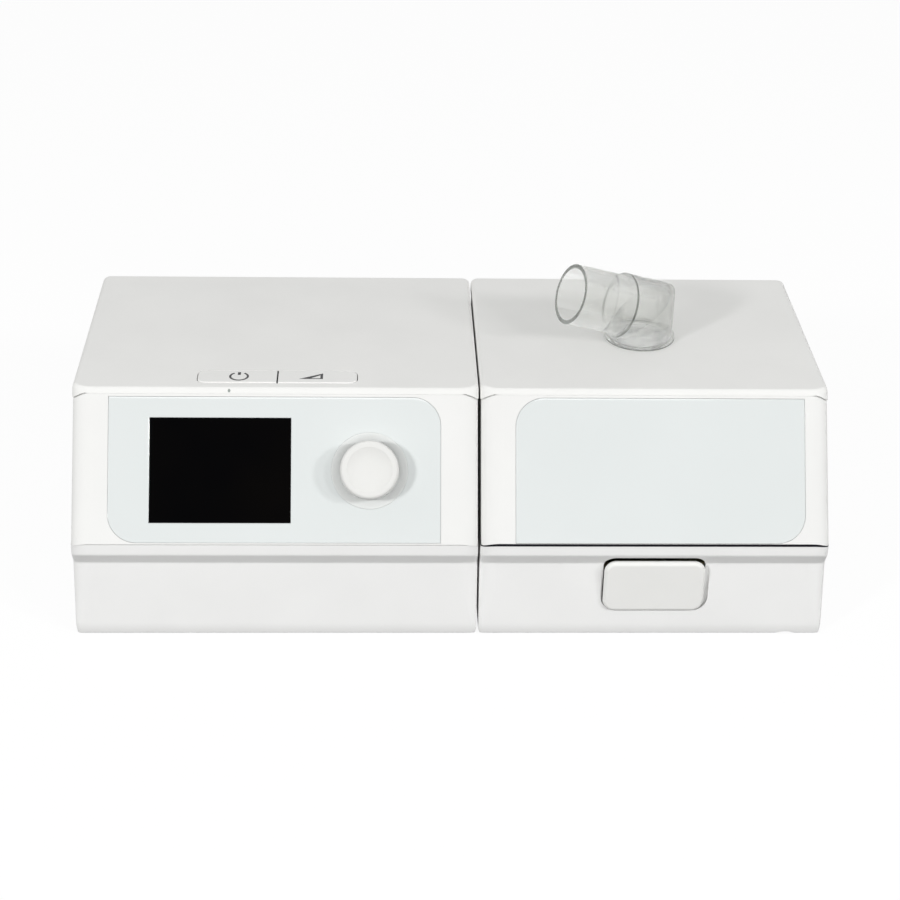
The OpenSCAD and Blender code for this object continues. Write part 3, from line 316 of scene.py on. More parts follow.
def mixColors(tree, share, first, second):
    mix = tree.nodes.new("ShaderNodeMix")
    mix.data_type = "RGBA"
    tree.links.new(share, mix.inputs["Factor"])
    for socket, color in (("A", first), ("B", second)):
        if isinstance(color, bpy.types.NodeSocket):
            tree.links.new(color, mix.inputs[socket])
        else:
            mix.inputs[socket].default_value = (*color, 1)
    return mix.outputs["Result"]


def calculate(tree, operation, first, second):
    node = tree.nodes.new("ShaderNodeMath")
    node.operation = operation
    tree.links.new(first, node.inputs[0])
    if isinstance(second, bpy.types.NodeSocket):
        tree.links.new(second, node.inputs[1])
    else:
        node.inputs[1].default_value = second
    return node.outputs["Value"]


# Shows a blend of two shaders
def showBlend(tree, share, first, second, output="Material Output"):
    mix = tree.nodes.new("ShaderNodeMixShader")
    tree.links.new(share, mix.inputs["Fac"])
    tree.links.new(first, mix.inputs[1])
    tree.links.new(second, mix.inputs[2])
    tree.links.new(mix.outputs["Shader"], tree.nodes[output].inputs["Surface"])


def noiseOf(material, scale, detail=2.0, stretch=None):
    tree = material.node_tree
    where = tree.nodes.new("ShaderNodeTexCoord")
    noise = tree.nodes.new("ShaderNodeTexNoise")
    noise.inputs["Scale"].default_value = scale
    noise.inputs["Detail"].default_value = detail
    if stretch:
        mapping = tree.nodes.new("ShaderNodeMapping")
        mapping.inputs["Scale"].default_value = stretch
        tree.links.new(where.outputs["Object"], mapping.inputs["Vector"])
        tree.links.new(mapping.outputs["Vector"], noise.inputs["Vector"])
    else:
        tree.links.new(where.outputs["Object"], noise.inputs["Vector"])
    return noise.outputs["Fac"]


def ranged(material, value, low, high):
    tree = material.node_tree
    fit = tree.nodes.new("ShaderNodeMapRange")
    fit.inputs["From Min"].default_value = 0.3
    fit.inputs["From Max"].default_value = 0.7
    fit.inputs["To Min"].default_value = low
    fit.inputs["To Max"].default_value = high
    tree.links.new(value, fit.inputs["Value"])
    return fit.outputs["Result"]


# Slight drift of the colour over the surface, as in moulded or printed parts
def mottle(material, darker, lighter, scale, stretch=None):
    tree = material.node_tree
    share = ranged(material, noiseOf(material, scale, stretch=stretch), 0, 1)
    tree.links.new(mixColors(tree, share, darker, lighter), inputOf(material, "Base Color"))


def unevenGloss(material, low, high, scale, stretch=None):
    rough = ranged(material, noiseOf(material, scale, 4, stretch), low, high)
    material.node_tree.links.new(rough, inputOf(material, "Roughness"))


def grain(material, scale, depth, stretch=None):
    tree = material.node_tree
    bump = tree.nodes.new("ShaderNodeBump")
    bump.inputs["Distance"].default_value = depth
    bump.inputs["Strength"].default_value = 1.0
    tree.links.new(noiseOf(material, scale, 3, stretch), bump.inputs["Height"])
    tree.links.new(bump.outputs["Normal"], inputOf(material, "Normal"))


def mouldedPlastic(name, color, roughness, grainScale=3500, grainDepth=0.00001, drift=0.012, shine=0.08):
    material = newMaterial(name, color, roughness, Specular_IOR_Level=shine)
    lighter = [min(c * (1 + drift), 1) for c in color]
    mottle(material, [c * (1 - drift) for c in color], lighter, 45)
    unevenGloss(material, roughness - 0.05, roughness + 0.06, 260)
    grain(material, grainScale, grainDepth)
    return material


# Lets lamps and soft light pass clear parts straight, with a faint shadow. A share of what lies
# behind them shows unbent, as through thin walls: one share where a wall is seen flat, one at its rim
def letThrough(material, tint, shadow, flatShare, rimShare):
    tree = material.node_tree
    light = tree.nodes.new("ShaderNodeLightPath")
    isShadow, isSoftLight = light.outputs["Is Shadow Ray"], light.outputs["Is Diffuse Ray"]
    clear = tree.nodes.new("ShaderNodeBsdfTransparent")
    tree.links.new(mixColors(tree, isShadow, tint, shadow), clear.inputs["Color"])
    slant = tree.nodes.new("ShaderNodeLayerWeight")
    share = tree.nodes.new("ShaderNodeMapRange")
    share.inputs["From Min"].default_value = 0.3
    share.inputs["To Min"].default_value = flatShare
    share.inputs["To Max"].default_value = rimShare
    tree.links.new(slant.outputs["Facing"], share.inputs["Value"])
    passing = calculate(tree, "MAXIMUM", isShadow, isSoftLight)
    straight = calculate(tree, "MAXIMUM", share.outputs["Result"], passing)
    glass = tree.nodes["Principled BSDF"].outputs["BSDF"]
    showBlend(tree, straight, glass, clear.outputs["BSDF"])


def clearPlastic(name, color, roughness, *passing):
    material = newMaterial(name, color, roughness, Transmission_Weight=1.0, IOR=1.5)
    unevenGloss(material, roughness, roughness + 0.02, 300)
    letThrough(material, *passing)
    return material


# One white plastic in two copies: the housings' copy is painted darker as painted shade, as their leaning
# fronts catch more light, and the bases' copy is painted lighter as painted light for their upright fronts
shellWhitePaintedShade = mouldedPlastic("shell white painted shade", (0.83, 0.83, 0.815), 0.55)
baseWhitePaintedLight = mouldedPlastic("base white painted light", (0.89, 0.89, 0.88), 0.55)
lidWhite = mouldedPlastic("lid white", (0.86, 0.86, 0.842), 0.52, grainDepth=0.000014)
keyWhite = mouldedPlastic("key white", (0.875, 0.875, 0.858), 0.46)
latchWhite = mouldedPlastic("latch white", (0.88, 0.88, 0.858), 0.5)
knobWhite = mouldedPlastic("knob white", (0.775, 0.775, 0.755), 0.42)
bezelWhite = mouldedPlastic("bezel white", (0.755, 0.77, 0.76), 0.4)
fasciaPale = newMaterial("fascia pale", (0.728, 0.762, 0.756), 0.16, Coat_Weight=0.5, Coat_Roughness=0.06)
mottle(fasciaPale, (0.721, 0.755, 0.748), (0.735, 0.768, 0.762), 22)
unevenGloss(fasciaPale, 0.14, 0.19, 90)
screenBlack = newMaterial("screen black", (0.001, 0.001, 0.0014), 0.07, Specular_IOR_Level=0.02)
mottle(screenBlack, (0.0008, 0.0008, 0.0012), (0.0018, 0.0015, 0.0014), 30)
unevenGloss(screenBlack, 0.05, 0.1, 120)
inkGrey = newMaterial("ink grey", (0.036, 0.036, 0.038), 0.5)
mottle(inkGrey, (0.03, 0.03, 0.032), (0.045, 0.045, 0.048), 900)
# painted shade: near black for strips set into gaps, where there would only be shade
paintedGapShade = mouldedPlastic("painted gap shade", (0.012, 0.012, 0.016), 0.6)
elbowShadow = (0.72, 0.73, 0.72)
elbowClear = (0.985, 0.988, 0.982)
clearElbow = clearPlastic("clear elbow", (0.96, 0.965, 0.955), 0.01, elbowClear, elbowShadow, 0.8, 0.05)
# painted shade for the grey bands laid on the elbow's end, shoulder and foot
paintedEdgeShade = clearPlastic("clear painted edge shade", (0.5, 0.51, 0.5), 0.05, (0.66, 0.67, 0.66), elbowShadow, 0.9, 0.7)
tubClear, tubShadow = (0.9, 0.94, 0.955), (0.86, 0.91, 0.93)
clearTub = clearPlastic("clear tub", (0.82, 0.9, 0.93), 0.06, tubClear, tubShadow, 0.75, 0.4)
rubberGrey = mouldedPlastic("rubber grey", (0.145, 0.15, 0.155), 0.62, 1800, 0.00002)
rubberBlack = mouldedPlastic("rubber black", (0.014, 0.014, 0.015), 0.6, 1800, 0.00002)
partBlack = mouldedPlastic("part black", (0.015, 0.016, 0.018), 0.45)
ductGrey = mouldedPlastic("duct grey", (0.09, 0.1, 0.112), 0.5)
impellerWhite = mouldedPlastic("impeller white", (0.81, 0.79, 0.7), 0.4)
heaterTan = mouldedPlastic("heater tan", (0.58, 0.456, 0.255), 0.55)
lensClear = newMaterial("lens clear", (0.5, 0.56, 0.52), 0.2, Transmission_Weight=0.4)
unevenGloss(lensClear, 0.15, 0.25, 800)


def brushedMetal(name, color, roughness, stretch):
    material = newMaterial(name, color, roughness, Metallic=1.0)
    mottle(material, [c * 0.92 for c in color], color, 90, stretch)
    unevenGloss(material, roughness - 0.08, roughness + 0.1, 220, stretch)
    grain(material, 500, 0.000006, stretch=stretch)
    return material


steel = brushedMetal("steel", (0.5, 0.51, 0.53), 0.28, (1, 1, 1))
heaterMetal = brushedMetal("heater metal", (0.57, 0.58, 0.6), 0.34, (1, 12, 12))
copperWinding = brushedMetal("copper winding", (0.44, 0.145, 0.032), 0.4, (1, 1, 30))


def circuitBoard():
    material = mouldedPlastic("board green", (0.008, 0.085, 0.03), 0.35, 900, 0.00001, 0.2)
    tree = material.node_tree
    where = tree.nodes.new("ShaderNodeTexCoord")
    tracks = tree.nodes.new("ShaderNodeTexVoronoi")
    tracks.distance = "CHEBYCHEV"
    tracks.inputs["Scale"].default_value = 260
    tree.links.new(where.outputs["Object"], tracks.inputs["Vector"])
    edge = calculate(tree, "GREATER_THAN", tracks.outputs["Distance"], 0.42)
    shown = inputOf(material, "Base Color")
    plainGreen, trackGreen = shown.links[0].from_socket, (0.03, 0.2, 0.08)
    tree.links.new(mixColors(tree, edge, plainGreen, trackGreen), shown)
    return material


boardGreen = circuitBoard()


def looseFibre(name, color, scale, depth):
    material = newMaterial(name, color, 0.95, Sheen_Weight=0.3)
    mottle(material, [c * 0.7 for c in color], color, scale)
    grain(material, scale * 1.5, depth)
    return material


foamGrey = looseFibre("foam grey", (0.09, 0.095, 0.105), 900, 0.0004)
filterWhite = looseFibre("filter white", (0.83, 0.85, 0.85), 1200, 0.0002)
print("materials made:", len(bpy.data.materials))

# Housings

housing = {
    "pocketDeep": 1.5,      # recess that holds the fascia
    "pocketGap": 0.1,
    "fasciaRound": 10.0,
    "fasciaThick": 1.4,
    "lidThick": 1.7,
    "shaftHole": 4.6,
    "filterGap": 0.3,
}
lid = {
    "seam": 0.32,           # joint between lid and housing
    "edge": 1.7,
    "frontShare": 0.6,      # how much of the edge's inset the front takes, which leans back anyway
    "levelStart": 0.5,      # where the level underside starts, inside the sinking rim
    "steps": 7,
    "sag": 3.1,             # how much deeper the lip is at the sides
    "keyGap": 0.3,
    "lensHole": 0.42,
    "elbowHole": 11.4,
    "soft": 0.12,
}


# Lets a ring sink towards the sides, and forwards in front: the joints dip at the corners
def lowerSides(ring, xa, xb, sag, slope=0.0):
    for vert in {v for edge in ring for v in edge.verts}:
        share = 1 - min(vert.co.x - xa, xb - vert.co.x) / shell["sagWide"]
        if share > 0:
            vert.co.z -= sag * share * share
            if vert.co.y < 0:
                vert.co.y -= sag * share * share * slope


# A fascia has two round corners: lower left and upper right, or the other two
risingCorners, fallingCorners = (0, 2), (1, 3)


def fasciaPocket(node, corners):
    xa, xb, low, high = spanOnFace(node, housing["fasciaThick"])
    grow = housing["pocketGap"]
    pocket = slab(xa - grow, xb + grow, low - grow, high + grow, -housing["pocketDeep"], 3,
                  housing["fasciaRound"] + grow, corners)
    return moved(pocket, faceFrame)


def housingWall(name, xa, xb, gap):
    bm = bmesh.new()
    low, high = seamZ + gap / 2, lidTop - housing["lidThick"]
    wall, front = shell["wall"], shell["frontWall"] / leanCos
    back = genUpper[1].y
    lower, upper = shell["seamCorner"], shell["lidCorner"]
    rings = [
        planRing(bm, xa, xb, faceY(low), back, low, lower),
        planRing(bm, xa, xb, faceY(high), back, high, upper),
        planRing(bm, xa + wall, xb - wall, faceY(high) + front, back - wall, high, upper, wall),
        planRing(bm, xa + wall, xb - wall, faceY(low) + front, back - wall, low, lower, wall)]
    for ring, sag in zip(rings, (shell["seamSag"], lid["sag"], lid["sag"], shell["seamSag"])):
        lowerSides(ring, xa, xb, sag, leanSin / leanCos)
    bridgeRings(bm, rings, closed=True)
    return newPiece(name, bm)


knobX = middleOf("knob_bezel").x
bezelSpan = spanOnFace("knob_bezel", housing["fasciaThick"])
knobUp = (bezelSpan[2] + bezelSpan[3]) / 2
onKnob = faceFrame @ at(knobX, knobUp, 0)


def makeGeneratorHousing():
    piece = housingWall("blower_housing", genUpper[0].x, genUpper[1].x, shell["genGap"])
    softenEdges(piece, shell["softEdge"])
    carve(piece, fasciaPocket("generator_fascia", risingCorners))
    carve(piece, moved(roundBar(housing["shaftHole"], 20), onKnob @ at(0, 0, -10)))
    low, high = boxOf("filter_cover")
    grow = housing["filterGap"]
    carve(piece, slab(low.x - grow, high.x + grow, backY - 8, backY + 5, low.z - grow, high.z + grow))
    return finishPiece(piece, "generator", shellWhitePaintedShade, ["generator_housing"])


hinge = {"barrel": 3.0, "around": 0.4, "pin": 1.55, "knuckle": 12.0, "inset": 12.0, "gap": 0.3}
catch = {"wide": 18.0, "into": 0.5, "back": 9.0, "high": 2.2}    # ledge that the latch holds


def hingeBar(x, length, radius):
    return moved(roundBar(radius, length, 48), at(x, backY, seamZ) @ alongX)


def hingePlaces(forHood):
    step = hinge["knuckle"] + hinge["gap"] if forHood else 0
    return [humBase[0].x + hinge["inset"] + step, humBase[1].x - hinge["inset"] - hinge["knuckle"] - step]


# Makes room for the other part's knuckles, then adds this part's own with the pin's hole through them
def addKnuckles(piece, onHood):
    wide, grow = hinge["knuckle"], hinge["gap"]
    for x in hingePlaces(not onHood):
        carve(piece, hingeBar(x - grow, wide + 2 * grow, hinge["barrel"] + hinge["around"]))
    for x in hingePlaces(onHood):
        carve(piece, hingeBar(x, wide, hinge["barrel"]), "UNION")
        carve(piece, hingeBar(x - 1, wide + 2, hinge["pin"]))


def makeHoodHousing():
    piece = housingWall("hood_shell", hoodUpper[0].x, hoodUpper[1].x, shell["hoodGap"] + shell["hoodLift"])
    softenEdges(piece, shell["softEdge"])
    carve(piece, fasciaPocket("hood_fascia", fallingCorners))
    addKnuckles(piece, True)
    x, half = middleOf("latch_button").x, catch["wide"] / 2
    front = frontY + shell["frontWall"] / leanCos - catch["into"]
    carve(piece, slab(x - half, x + half, front, frontY + catch["back"],
                      seamZ + shell["hoodGap"] / 2, seamZ + catch["high"]), "UNION")
    return finishPiece(piece, "hood", shellWhitePaintedShade, ["hood_housing"])


makeGeneratorHousing()
makeHoodHousing()
print("housings made")

# Lids


def lidPlate(name, xa, xb):
    bm = bmesh.new()
    low = lidTop - housing["lidThick"] + lid["seam"]
    edge = lid["edge"]
    corner, level = shell["lidCorner"], shell["sagWide"] + lid["levelStart"]
    rings = [
        planRing(bm, xa + level, xb - level, faceY(low) + level, backY - level, low, corner, level,
                 filled=True),
        planRing(bm, xa, xb, faceY(low), backY, low, corner)]
    lowerSides(rings[1], xa, xb, lid["sag"], leanSin / leanCos)
    for i in range(lid["steps"] + 1):
        a = math.pi / 2 * i / lid["steps"]
        inset, z = edge * (1 - math.cos(a)), lidTop - edge + edge * math.sin(a)
        front = faceY(z) + inset * lid["frontShare"]
        rings.append(planRing(bm, xa + inset, xb - inset, front, backY - inset, z,
                              corner, inset, filled=i == lid["steps"]))
    bridgeRings(bm, rings)
    return newPiece(name, bm)


keys = {"margin": 1.0, "round": 2.8, "rise": 0.38, "backRise": 0.03, "split": 0.5, "soft": 0.16}
keyGapShade = {"gap": 0.05, "fromFront": 0.2, "deep": 1.6, "rise": 0.02}    # black strip of painted shade in the split between the keys
powerLow, powerHigh = boxOf("power_key")
rampHigh = boxOf("ramp_key")[1]
padLeft, padRight = powerLow.x + keys["margin"], rampHigh.x - keys["margin"]
padFront, padBack = powerLow.y + keys["margin"], powerHigh.y - keys["margin"]


def makeGeneratorLid():
    piece = lidPlate("blower_lid", genLid[0].x, genLid[1].x)
    grow = lid["keyGap"]
    carve(piece, slab(padLeft - grow, padRight + grow, padFront - grow, padBack + grow,
                      lidTop - 6, lidTop + 2, keys["round"] + grow))
    lens = middleOf("status_lens")
    carve(piece, moved(roundBar(lid["lensHole"], 8, 24), at(lens.x, lens.y - 5, lens.z) @ alongY))
    softenEdges(piece, lid["soft"], 2, 50)
    return finishPiece(piece, "generator", lidWhite, ["generator_cover"])


def makeHoodLid():
    piece = lidPlate("hood_lid", hoodLid[0].x, hoodLid[1].x)
    outlet = middleOf("outlet_gasket")
    carve(piece, moved(roundBar(lid["elbowHole"], 10), at(outlet.x, outlet.y, lidTop - 5)))
    softenEdges(piece, lid["soft"], 2, 50)
    return finishPiece(piece, "hood", lidWhite, ["hood_cover"])


makeGeneratorLid()
makeHoodLid()
print("lids made")

# Fascias, screen

fascia = {"border": 0.6, "drop": 0.13, "soft": 0.08, "ringGap": 0.02}
screen = {"deep": 1.3, "set": 0.05, "round": 0.4, "soft": 0.12}


def fasciaPlate(name, node, corners):
    xa, xb, low, high = spanOnFace(node, housing["fasciaThick"])
    bm = slab(xa, xb, low, high, -housing["fasciaThick"], 0, housing["fasciaRound"], corners)
    top = max(bm.faces, key=lambda f: f.calc_center_median().z)
    rim = list(top.verts)
    bmesh.ops.inset_region(bm, faces=[top], thickness=fascia["border"], use_even_offset=True)
    bmesh.ops.translate(bm, vec=(0, 0, -fascia["drop"]), verts=rim)
    return newPiece(name, moved(bm, faceFrame))


screenSpan = spanOnFace("display_window", housing["fasciaThick"])


def makeGeneratorFascia():
    piece = fasciaPlate("blower_fascia", "generator_fascia", risingCorners)
    xa, xb, low, high = screenSpan
    grow = shell["seat"]
    carve(piece, moved(slab(xa - grow, xb + grow, low - grow, high + grow, -5, 5), faceFrame))
    radius = (bezelSpan[1] - bezelSpan[0]) / 2 + fascia["ringGap"]
    carve(piece, moved(roundBar(radius, 10, 96), onKnob @ at(0, 0, -5)))
    softenEdges(piece, fascia["soft"], 2, 5)
    return finishPiece(piece, "generator", fasciaPale, ["generator_fascia"], 20)


def makeHoodFascia():
    piece = fasciaPlate("hood_panel", "hood_fascia", fallingCorners)
    softenEdges(piece, fascia["soft"], 2, 5)
    return finishPiece(piece, "hood", fasciaPale, ["hood_fascia"], 20)


def makeScreen():
    xa, xb, low, high = screenSpan
    pane = slab(xa, xb, low, high, -screen["deep"], -screen["set"], screen["round"])
    piece = newPiece("screen_glass", moved(pane, faceFrame))
    softenEdges(piece, screen["soft"], 2)
    return finishPiece(piece, "generator", screenBlack, ["display_window"])


makeGeneratorFascia()
makeHoodFascia()
makeScreen()
print("front panels made")

# Knob and its bezel

knob = {
    "radius": 10.4,
    "high": 8.0,
    "lift": 0.2,         # gap below the knob
    "chamfer": 0.3,
    "taper": 0.25,       # how much narrower the top is
    "soft": 1.2,
    "dish": 7.9,
    "dishLip": 0.3,      # rounding round the dish
    "dishDeep": 1.3,
    "dishSteps": 8,
    "bore": 3.02,
    "boreTop": 1.5,      # end of the bore below the top
}
bezel = {
    "bore": 4.3,
    "foot": -1.4,
    "rim": 0.1,
    "straight": 0.02,    # upright stretch below the rim's rounding
    "dish": ((0.45, -0.02), (1.2, -0.32), (2.1, -0.7), (3.0, -1.05), (3.5, -1.15)),    # in from rim, height
}


def makeKnob():
    radius, high, soft = knob["radius"], knob["high"], knob["soft"]
    bore, lift, chamfer, taper = knob["bore"], knob["lift"], knob["chamfer"], knob["taper"]
    boreTop = high - knob["boreTop"]
    outline = [(0, boreTop), (bore, boreTop), (bore, lift)]
    outline += [(radius - 0.1 - chamfer, lift), (radius - 0.1, lift + chamfer)]
    outline += arcPoints(radius - soft - taper, high - soft, soft, 0, 90)
    dish, lip = knob["dish"], knob["dishLip"]
    outline += [(dish + 0.25, high)]
    outline += arcPoints(dish, high - lip, lip, 80, 150, 4)
    for i in range(1, knob["dishSteps"] + 1):
        share = 1 - i / knob["dishSteps"]
        outline.append(((dish - 0.4) * share, high - knob["dishDeep"] * (1 - share ** 3) - lip / 2))
    piece = newPiece("turn_knob", moved(lathe(outline), onKnob))
    return finishPiece(piece, "knob", knobWhite, ["control_knob"])


def makeBezel():
    radius = (bezelSpan[1] - bezelSpan[0]) / 2
    bore, foot, rim = bezel["bore"], bezel["foot"], bezel["rim"]
    outline = [(bore, foot), (radius, foot), (radius, -rim - bezel["straight"])]
    outline += arcPoints(radius - rim, -rim, rim, 0, 90, 3)
    outline += [(radius - inset, height) for inset, height in bezel["dish"]]
    outline += [(bore, outline[-1][1]), (bore, foot)]
    piece = newPiece("knob_ring", moved(lathe(outline), onKnob))
    return finishPiece(piece, "generator", bezelWhite, ["knob_bezel"])


makeKnob()
makeBezel()
print("knob made")

# Keys and their printed signs


# The pads are proud at the front and level with the lid at the back
def padHeight(y):
    share = (padBack - y) / (padBack - padFront)
    return lidTop + keys["backRise"] + (keys["rise"] - keys["backRise"]) * share


def keyCap(name, left, right, corners):
    low = lidTop - housing["lidThick"]
    bm = slab(left, right, padFront, padBack, low, lidTop + keys["rise"], keys["round"], corners)
    for vert in bm.verts:
        if vert.co.z > lidTop:
            vert.co.z = padHeight(vert.co.y)
    return newPiece(name, bm)


def makeKeys():
    middle = (padLeft + padRight) / 2
    half = keys["split"] / 2
    for name, left, right, corners, body in (
            ("power_pad", padLeft, middle - half, (0, 3), "power_key"),
            ("ramp_pad", middle + half, padRight, (1, 2), "ramp_key")):
        piece = keyCap(name, left, right, corners)
        softenEdges(piece, keys["soft"], 3)
        finishPiece(piece, body, keyWhite, [body])
    half -= keyGapShade["gap"]
    # painted shade: a black strip fills the split between the two pads
    piece = newPiece("key_gap_shade", slab(
        middle - half, middle + half, padFront + keyGapShade["fromFront"], padBack,
        lidTop - keyGapShade["deep"], lidTop + keyGapShade["rise"]))
    finishPiece(piece, "generator", paintedGapShade)


signs = {
    "thick": 0.03,
    "sunk": 0.01,
    "power": (14.4, 4.6),                   # middle, from the pads' front left corner
    "ring": 3.1,
    "stroke": 0.75,
    "gapAngle": 33,
    "bar": (1.2, 3.4),
    "ramp": (15.4, 4.4),                    # middle, from the pads' front right corner
    "wedge": (-4.9, 3.4, -1.7, 2.8),        # left, right, lower and upper edge
    "wedgeHole": (-0.9, 2.5, -1.2, 1.4),
}


# Lets flat ink follow the slope of the pads
def layInk(piece, body):
    for vert in piece.data.vertices:
        vert.co.z += padHeight(vert.co.y)
    return finishPiece(piece, body, inkGrey)


def powerSign():
    bm = bmesh.new()
    inner, outer = signs["ring"] - signs["stroke"] / 2, signs["ring"] + signs["stroke"] / 2
    start = math.radians(90 + signs["gapAngle"])
    ends = [bm.verts.new((r * math.cos(start), r * math.sin(start), 0)) for r in (inner, outer)]
    edge = bm.edges.new(ends)
    bmesh.ops.spin(bm, geom=ends + [edge], cent=(0, 0, 0), axis=(0, 0, 1), steps=40,
                   angle=2 * math.pi - 2 * math.radians(signs["gapAngle"]))
    half = signs["stroke"] * 0.7
    near, far = signs["bar"]
    corners = ((-half, near), (half, near), (half, far), (-half, far))
    bm.faces.new([bm.verts.new((x, y, 0)) for x, y in corners])
    extrudeUp(bm, signs["thick"])
    x, y = signs["power"]
    moved(bm, at(padLeft + x, padFront + y, -signs["sunk"]))
    return layInk(newPiece("power_sign", bm), "power_key")


def wedge(edges, low, high):
    left, right, near, far = edges
    x, y = padRight - signs["ramp"][0], padFront + signs["ramp"][1]
    bm = bmesh.new()
    corners = ((left, near), (right, near), (right, far))
    bm.faces.new([bm.verts.new((x + wedgeX, y + wedgeY, low)) for wedgeX, wedgeY in corners])
    return extrudeUp(bm, high - low)


def rampSign():
    piece = newPiece("ramp_sign", wedge(signs["wedge"], -signs["sunk"], signs["thick"]))
    carve(piece, wedge(signs["wedgeHole"], -1, 1))
    return layInk(piece, "ramp_key")


makeKeys()
powerSign()
rampSign()
print("keys made")

# Bases

base = {
    "rimHigh": 4.1,
    "undercutHigh": 4.7,
    "undercutDeep": 2.8,
    "rimLean": 0.3,
    "rimSoft": 0.6,
    "dockedFoot": 1.5,      # sides that face the other unit draw in only below this height
    "innerStep": 0.05,      # side that faces the other unit, set in below the rim
    "bulge": 0.05,          # how far the front stays behind the rim at its foot
    "footSoft": 5.2,        # height of the soft turn above the bottom edge
    "footIn": 0.5,          # how far that turn draws in
    "edge": 0.45,           # rounding of the bottom edge
    "bottom": 0.06,
    "cornerTurn": 24,       # height over which the corner softens upwards
    "floor": 2.2,
    "archWide": 7.2,        # finger notch in the humidifier's bottom edge
    "archHigh": 0.8,
    "archFromSide": 12.6,
    "footRecess": (6.1, 1.6, 48),      # radius, depth and sides
    "screwRecess": (3.0, 3.6, 32),
    "jackHole": 5.4,
}


# Corners of a line of points turned into short curves, which start the given distance away
def easeCorners(points, reaches, steps=4):
    eased = [points[0]]
    for before, here, after, reach in zip(points, points[1:], points[2:], reaches):
        start = here + (before - here).normalized() * reach
        end = here + (after - here).normalized() * reach
        for i in range(steps + 1):
            t = i / steps
            eased.append(start * (1 - t) ** 2 + here * 2 * t * (1 - t) + end * t * t)
    return eased + [points[-1]]


# The outline of a base from bottom to top: set in from the front, set in from the sides, height
def baseProfile(top):
    bottom, rim = base["bottom"], seamZ - base["rimHigh"]
    drawn, turn, edge = base["footIn"], bottom + base["footSoft"] / 2, base["edge"]
    corners = [
        Vector((base["bulge"] + drawn + 2, drawn + 2, bottom)),
        Vector((base["bulge"] + drawn, drawn, bottom)),
        Vector((base["bulge"], 0, turn)),
        Vector((base["undercutDeep"], 0, rim - base["undercutHigh"])),
        Vector((0, 0, rim)),
        Vector((base["rimLean"], 0, top))]
    return easeCorners(corners, (edge, base["footSoft"] / 2 - edge, base["rimSoft"], base["rimSoft"]))


def baseShell(name, xa, xb, gap, innerSide):
    bm = bmesh.new()
    top, wall = seamZ - gap / 2, shell["wall"]
    rings = []
    for i, (front, side, z) in enumerate(baseProfile(top)):
        docked = base["innerStep"] + (side if z < base["dockedFoot"] else 0)
        left, right = (docked if facing else side for facing in (innerSide < 0, innerSide > 0))
        share = min(max((z - base["footSoft"]) / base["cornerTurn"], 0), 1)
        corner = [a + (b - a) * share for a, b in zip(shell["footCorner"], shell["seamCorner"])]
        rings.append(planRing(bm, xa + left, xb - right, frontY + front, backY - side, z,
                              corner, side, filled=i == 0))
    inner = frontY + base["undercutDeep"] + wall
    for z, last in ((top, False), (base["bottom"] + base["floor"], True)):
        rings.append(planRing(bm, xa + wall, xb - wall, inner, backY - wall, z, shell["seamCorner"], wall,
                              filled=last))
    for ring in rings[1:-1]:
        height = max(v.co.z for e in ring for v in e.verts)
        lowerSides(ring, xa, xb, shell["seamSag"] * height / top)
    bridgeRings(bm, rings)
    return newPiece(name, bm)


# Centres of the separate solids of a node
def solidCentres(node):
    bm = bmesh.new()
    bm.from_mesh(frame["nodes"][node].data)
    bmesh.ops.remove_doubles(bm, verts=bm.verts, dist=1e-6)
    centres, left = [], set(bm.verts)
    while left:
        group, edge = set(), [left.pop()]
        while edge:
            vert = edge.pop()
            group.add(vert)
            for link in vert.link_edges:
                other = link.other_vert(vert)
                if other in left:
                    left.remove(other)
                    edge.append(other)
        xs, ys, zs = ([v.co[i] for v in group] for i in range(3))
        centres.append(Vector([(min(a) + max(a)) / 2 for a in (xs, ys, zs)]) / mm)
    bm.free()
    return sorted(centres, key=lambda c: tuple(round(x, 3) for x in c))


def carveRecesses(piece, node, size):
    radius, deep, sides = size
    for solid in solidCentres(node):
        carve(piece, moved(roundBar(radius, deep, sides), at(solid.x, solid.y, 0)))


docking = {"port": 9.0, "pin": 2.55, "tongue": (16.0, 6.0), "deep": 8.0, "seatGap": 0.1, "slideGap": 0.5}


# Openings in the sides that face each other: air, current and the two guide pins
def carveDocking(piece, sideX, gap):
    port, tongue = middleOf("outlet_spigot"), middleOf("dock_plug")
    deep = docking["deep"]
    start = sideX - deep / 2
    carve(piece, moved(roundBar(docking["port"] + gap, deep, 96), at(start, port.y, port.z) @ alongX))
    wide, high = (size / 2 + gap for size in docking["tongue"])
    carve(piece, slab(start, start + deep, tongue.y - wide, tongue.y + wide,
                      tongue.z - high, tongue.z + high))
    for pin in solidCentres("dock_pins"):
        carve(piece, moved(roundBar(docking["pin"], deep, 48), at(start, pin.y, pin.z) @ alongX))


def makeGeneratorBase():
    piece = baseShell("blower_base", genBase[0].x, genBase[1].x, shell["genGap"], 1)
    carveRecesses(piece, "generator_feet", base["footRecess"])
    carveRecesses(piece, "generator_screws", base["screwRecess"])
    carveDocking(piece, genBase[1].x, docking["seatGap"])
    jack = middleOf("power_jack")
    carve(piece, moved(roundBar(base["jackHole"], 12, 48), at(jack.x, backY - 8, jack.z) @ alongY))
    softenEdges(piece, shell["softEdge"])
    return finishPiece(piece, "generator", baseWhitePaintedLight, ["generator_base"], 24)


latch = {
    "wide": 35.8,
    "high": 20.2,
    "round": 4.2,
    "gap": 0.16,
    "lowest": 0.8,         # pad's lower edge above the lowest point of the latch
    "deep": 2.4,           # back of the pad behind the base's foremost line
    "topGap": 1.5,         # the pad hangs a little below the top of its slot
    "slotDeep": 7.0,
    "crown": 1.5,
    "shift": -0.5,         # pad's middle from the middle of the latch
    "dishDeep": 1.3,       # shallow dish round the pad
    "dishLeft": 0.7,
    "dishRight": 1.7,
    "dishLow": 0.35,
    "dishRound": 5.6,
}
latchLow, latchHigh = boxOf("latch_button")
latchX = (latchLow.x + latchHigh.x) / 2 + latch["shift"]
latchZ = latchLow.z + latch["lowest"] + latch["high"] / 2


